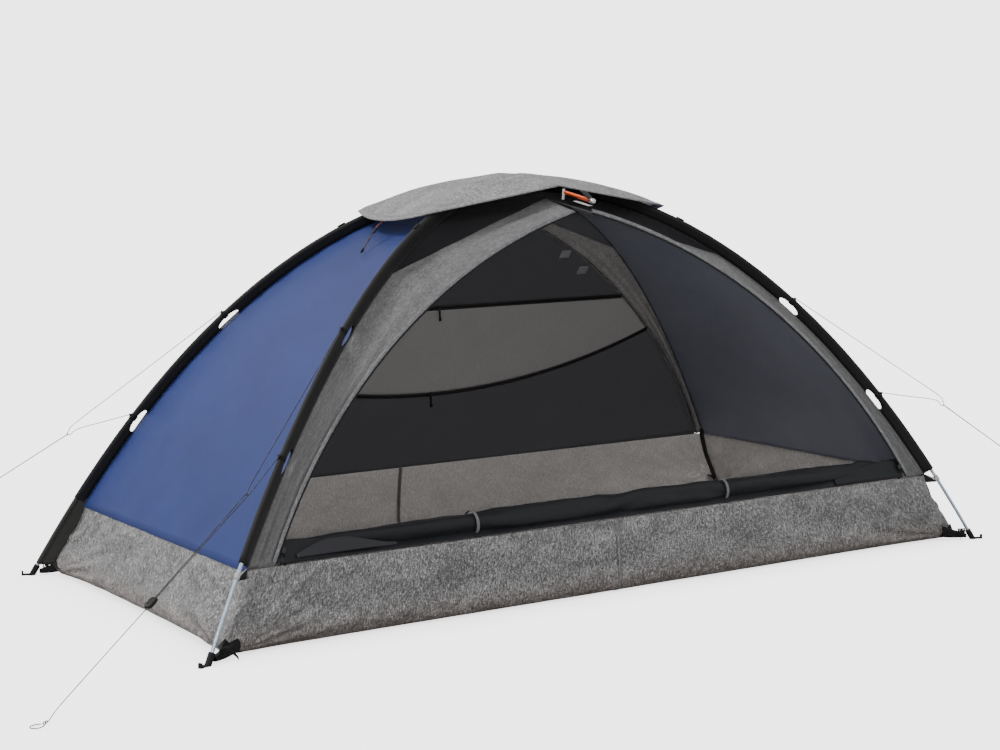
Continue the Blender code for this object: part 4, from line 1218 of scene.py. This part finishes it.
def make_corners():
    """The patch at each floor corner, its webbing to the pole foot, and what sits on the pole."""
    for corner, (side_x, side_y) in CORNERS.items():
        handed = side_x * side_y

        def patch_point(u, v):
            s = (2 * u - 1) * handed
            height = 0.0012 + (0.004 + 0.040 * (1 - abs(s)) ** 0.7) * v
            hx, hy = tub_size(height)
            x = hx + 0.0026 - max(s, 0.0) * 0.038
            y = hy + 0.0026 - max(-s, 0.0) * 0.038
            return drawn_out(Vector((side_x * x, side_y * y, height)))

        patch = sheet(f"corner_patch_{corner}", patch_point, 32, 10, SLEEVE, thick=0.0010)

        def sling_point(u, v):
            a = math.tau * u
            wide = (0.015 - 0.0080 * v) * math.copysign(abs(math.cos(a)) ** 0.7, math.cos(a))
            tall = (0.016 - 0.0110 * v) * math.copysign(abs(math.sin(a)) ** 0.7, math.sin(a))
            sag = -0.0020 * math.sin(math.pi * v)
            return in_corner((1.181 + 0.0725 * v, wide, 0.026 - 0.0155 * v + tall + sag), corner)

        def crease(u, v, spot):
            inside = smooth(v, 0, 0.1) * smooth(1 - v, 0, 0.1)
            return 0.0006 * math.sin(math.tau * 3 * u + 6 * v) * inside

        sling = sheet(f"corner_webbing_{corner}", sling_point, 28, 18, STRAP, closed=True,
                      thick=0.0010, wrinkle=crease)
        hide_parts(f"corner_strap_{corner}")
        out, across, up = 1.236, handed * 0.0126, 0.024
        lace = [
            (out - 0.0048, across - handed * 0.0024, up),
            (out - 0.0048, across + handed * 0.0030, up),
            (out, across + handed * 0.0040, up), (out + 0.0048, across + handed * 0.0030, up),
            (out + 0.0048, across - handed * 0.0024, up),
        ]
        body = f"lock_{corner}"
        laced = strap(f"lock_webbing_{corner}", [in_corner(spot, corner) for spot in lace], 0.0105,
                      STRAP, (0, 0, 1), 0.0010, body)
        tail = [
            (out - 0.0030, across + handed * 0.0062, up),
            (out - 0.006, across + handed * 0.010, up + 0.001),
            (out - 0.010, across + handed * 0.017, up - 0.001),
            (out - 0.013, across + handed * 0.025, up - 0.007),
            (out - 0.014, across + handed * 0.031, up - 0.014),
        ]
        loose = strap(f"strap_tail_{corner}", [in_corner(spot, corner) for spot in tail], 0.0070,
                      STRAP, (0, 0, 1), 0.0010, body)

        rise = pole_rise(corner)
        pieces = [patch]
        if side_y < 0:
            middle, ahead, outwards = beside_pole(0.9165, 0.0, rise)

            def cuff_point(u, v):
                a = math.tau * u
                wide = 0.0062 * math.sin(a)
                spot = middle + ahead * 0.013 * (v - 0.5) + outwards * COLLAR_RADIUS * math.cos(a)
                return in_corner((spot.x, wide, spot.y), corner)

            cuff = sheet(f"pole_cuff_{corner}", cuff_point, 20, 2, CUFF, thick=0.0008, closed=True)
            wall = Vector((math.hypot(*WALL_TOP_HALF) - 0.003, 0.0, 0.0))

            def tab_point(low, high, near, place=(middle, ahead, outwards, wall)):
                def point(u, v):
                    centre, down, away, edge = place
                    pole = centre + down * (low + (high - low) * u) - away * 0.0066
                    height = WALL_TOP + 0.004 - near * u
                    sewn = Vector((edge.x + 0.006 * u, 0.0, height))
                    return in_corner(Vector((pole.x, 0.0, pole.y)).lerp(sewn, v), corner)
                return point

            light = sheet(f"pole_tab_{corner}", tab_point(-0.0075, -0.0005, 0.005), 3, 6, CUFF,
                          thick=0.0009)
            dark = sheet(f"pole_gusset_{corner}", tab_point(0.0005, 0.0080, 0.024), 4, 6, SLEEVE,
                         thick=0.0010)
            pieces += [light, dark]
        if side_y > 0:

            def skirt_point(u, v):
                place = 0.9020 + 0.0840 * v
                a = math.radians(-150 + 300 * (u - 0.18) / 0.64)
                spot_out, spot_up = arm(place, COLLAR_RADIUS * math.cos(a), rise)
                pole = Vector((spot_out, COLLAR_RADIUS * math.sin(a), spot_up))
                base_out, base_up = arm(place, 0.0, rise)
                edge_x, edge_y = tub_size(base_up)
                wall_out = math.hypot(edge_x, edge_y) + corner_pull(base_up) - 0.010
                wall = Vector((wall_out, 0.0, base_up - 0.004))
                if 0.18 <= u <= 0.82:
                    return in_corner(pole, corner)
                share = (0.18 - u) / 0.18 if u < 0.18 else (u - 0.82) / 0.18
                wall.y = math.copysign(0.0009, u - 0.5)
                turn = math.radians(150) * (1 if u > 0.5 else -1)
                near_out, near_up = arm(place, COLLAR_RADIUS * math.cos(turn), rise)
                near = Vector((near_out, COLLAR_RADIUS * math.sin(turn), near_up))
                return in_corner(near.lerp(wall, share), corner)

            skirt = sheet(f"corner_skirt_{corner}", skirt_point, 44, 24, SKIRT, thick=0.0006)

            # A dark strip inside each rear tub corner: painted shadow of the corner skirt, seen
            # through the wall.
            def inner_shadow_point(u, v):
                height = 0.012 + 0.186 * v
                hx, hy = tub_size(height)
                s = (2 * u - 1) * handed
                x = hx - 0.0055 - max(s, 0.0) * 0.009
                y = hy - 0.0055 - max(-s, 0.0) * 0.009
                return drawn_out(Vector((side_x * x, side_y * y, height)))

            tape = sheet(f"corner_painted_shadow_{corner}", inner_shadow_point, 6, 20, SKIRT, thick=0.0009)


def make_cap_clips():
    """Small toggles that tie the cap to the rear left pole arm and to both end corners."""
    toggles = (
        ("bl", 0.205), ("bl", 0.160), ("fr", 0.350), ("bl", 0.350), ("br", 0.350), ("fl", 0.350),
    )
    for number, (corner, place) in enumerate(toggles, 1):
        lift = 0.018 if place < 0.3 else 0.009
        rise = 0.0 if place < 0.3 else pole_rise(corner)
        low, along, _ = beside_pole(place, lift, rise, 0.012)
        start = in_corner((low.x, 0.0, low.y), corner)
        ahead = in_corner((along.x, 0.0, along.y), corner)
        side = in_corner((0.0, 1.0, 0.0), corner)
        box = block(start, (0.0110, 0.0034, 0.0024), (ahead, side, ahead.cross(side)))
        solid(f"cap_toggle_{number}", box, BLACK_PLASTIC, bevel=0.0012)


def make_strut_fittings():
    """The bar, cap and strap that hold each vent strut, and the tape under it."""
    for name, side_y, rise in (("front", -1, 0.0), ("rear", 1, 0.005)):
        body = f"{name}_strut"
        start = Vector((0.0, side_y * 0.245, 0.978 + rise))
        end = Vector((0.0, side_y * 0.356, 0.960 + rise))
        ahead = (end - start).normalized()
        side = Vector((1.0, 0.0, 0.0))
        up = ahead.cross(side) * side_y
        up = up if up.z > 0 else -up
        box = block(start - ahead * 0.0075 - up * 0.006, (0.0016, 0.0030, 0.0135),
                    (ahead, side, up))
        bar = solid(f"strut_bar_{name}", box, WHITE_PLASTIC, bevel=0.0008)
        tip = turned(end - ahead * 0.001, ahead, [
            (0, 0.0052), (0.0015, 0.0058), (0.006, 0.0060),
            (0.010, 0.0066), (0.014, 0.0060), (0.017, 0.0030),
        ], 24)
        solid(f"strut_cap_{name}", tip, STEEL, body)
        near = start.lerp(end, 0.80)
        route = [
            near + up * 0.0175 - ahead * 0.016, near + up * 0.0150 - ahead * 0.006,
            near + up * 0.0110 + ahead * 0.004, near + up * 0.0075 + ahead * 0.012,
            near + up * 0.0010 + ahead * 0.026,
        ]
        keeper = strap(f"strut_strap_{name}", route, 0.015, SLEEVE, side, 0.0020)
        low = [start.lerp(end, share) - up * 0.0135 for share in (0.42, 0.6, 0.8, 1.0)]
        strap(f"strut_tape_{name}", low, 0.012, CUFF, side)


def make_flap():
    """The door's foot between the wall and the roll, and the loose ends of the door beside it, the
    left one lighter with a painted sheen.
    """
    def base_point(u, v):
        x = 0.942 * (2 * u - 1)
        lump = smooth(abs(x), 0.60, 0.92)
        crease = 0.0016 * rough((x * 6, v * 0.3, 1.0), 1.5)
        y = -0.4872 + (0.030 - 0.012 * lump) * v
        return Vector((x, y + crease, 0.1850 + (0.020 + 0.030 * lump) * v + 1.5 * crease * v))

    def flap_point(u, v):
        x = -0.900 + 0.255 * u
        crease = 0.0022 * math.sin(u * 8 + 2 * v) * v
        lower = Vector((x, -0.4890, 0.1960))
        upper = Vector((x, -0.4740 - 0.004 * u, 0.2290 - 0.004 * u))
        v *= smooth(u, -0.15, 0.35) * (1 - 0.8 * smooth(u, 0.45, 1.0))
        return lower.lerp(upper, v) + Vector((0.0, crease, 0.0))

    def end_point(u, v):
        x = 0.700 + 0.240 * u
        bulge = math.sin(math.pi * min(1.0, 0.15 + 0.85 * u))
        crease = 0.0020 * math.sin(u * 11 + 3 * v) * v
        lower = Vector((x, -0.4880, 0.1900))
        upper = Vector((x + 0.012 * bulge, -0.4580, 0.2120 + 0.026 * bulge))
        return lower.lerp(upper, v) + Vector((0.0, crease, crease))

    for name, point, columns, made in (
        ("door_foot", base_point, 120, ROLLED), ("door_flap_left", flap_point, 30, DOOR_NYLON_PAINTED_SHEEN),
        ("door_flap_right", end_point, 30, ROLLED),
    ):
        sheet(name, point, columns, 8, made, thick=0.0007)


def make_pulls():
    """A short webbing strap and a tab hung from each zip slider."""
    for name, body in (
        ("rear_zip_slider", "rear_door_slider"), ("window_slider", "window_zip_slider"),
        ("door_slider_left", "left_door_slider"), ("door_slider_right", "right_door_slider"),
    ):
        node = nodes[name]
        corners = [node.matrix_world @ Vector(spot) for spot in node.bound_box]
        middle = sum(corners, Vector()) / 8
        low = min(spot.z for spot in corners)
        route = [
            Vector((middle.x, middle.y, low - 0.0005)), Vector((middle.x, middle.y, low - 0.012)),
            Vector((middle.x + 0.001, middle.y, low - 0.026)),
        ]
        pull = strap(f"pull_{name}", route, 0.0060, STRAP, (1, 0, 0), 0.0012, body)
        axes = (Vector((1, 0, 0)), Vector((0, 1, 0)), Vector((0, 0, 1)))
        box = block(route[-1], (0.0042, 0.0016, 0.0050), axes)
        solid(f"pull_end_{name}", box, BLACK_PLASTIC, body, bevel=0.001)


make_poles()
make_sleeves()
make_end_panels()
make_bands()
make_vents()
make_rear_door()
make_tub()
make_cap()
make_roll()
make_corners()
make_cap_clips()
make_strut_fittings()
make_flap()
make_pulls()

finishes = {
    "pole_foot": BLACK_PLASTIC, "ladder_lock": BLACK_PLASTIC,
    "tensioner": BLACK_PLASTIC, "door_slider": ZIP_METAL, "rear_zip": ZIP_METAL,
    "window_slider": ZIP_METAL, "vent_strut": ORANGE,
}
for name, node in nodes.items():
    for prefix, finish in finishes.items():
        if name.startswith(prefix):
            node.data.materials.clear()
            node.data.materials.append(finish)
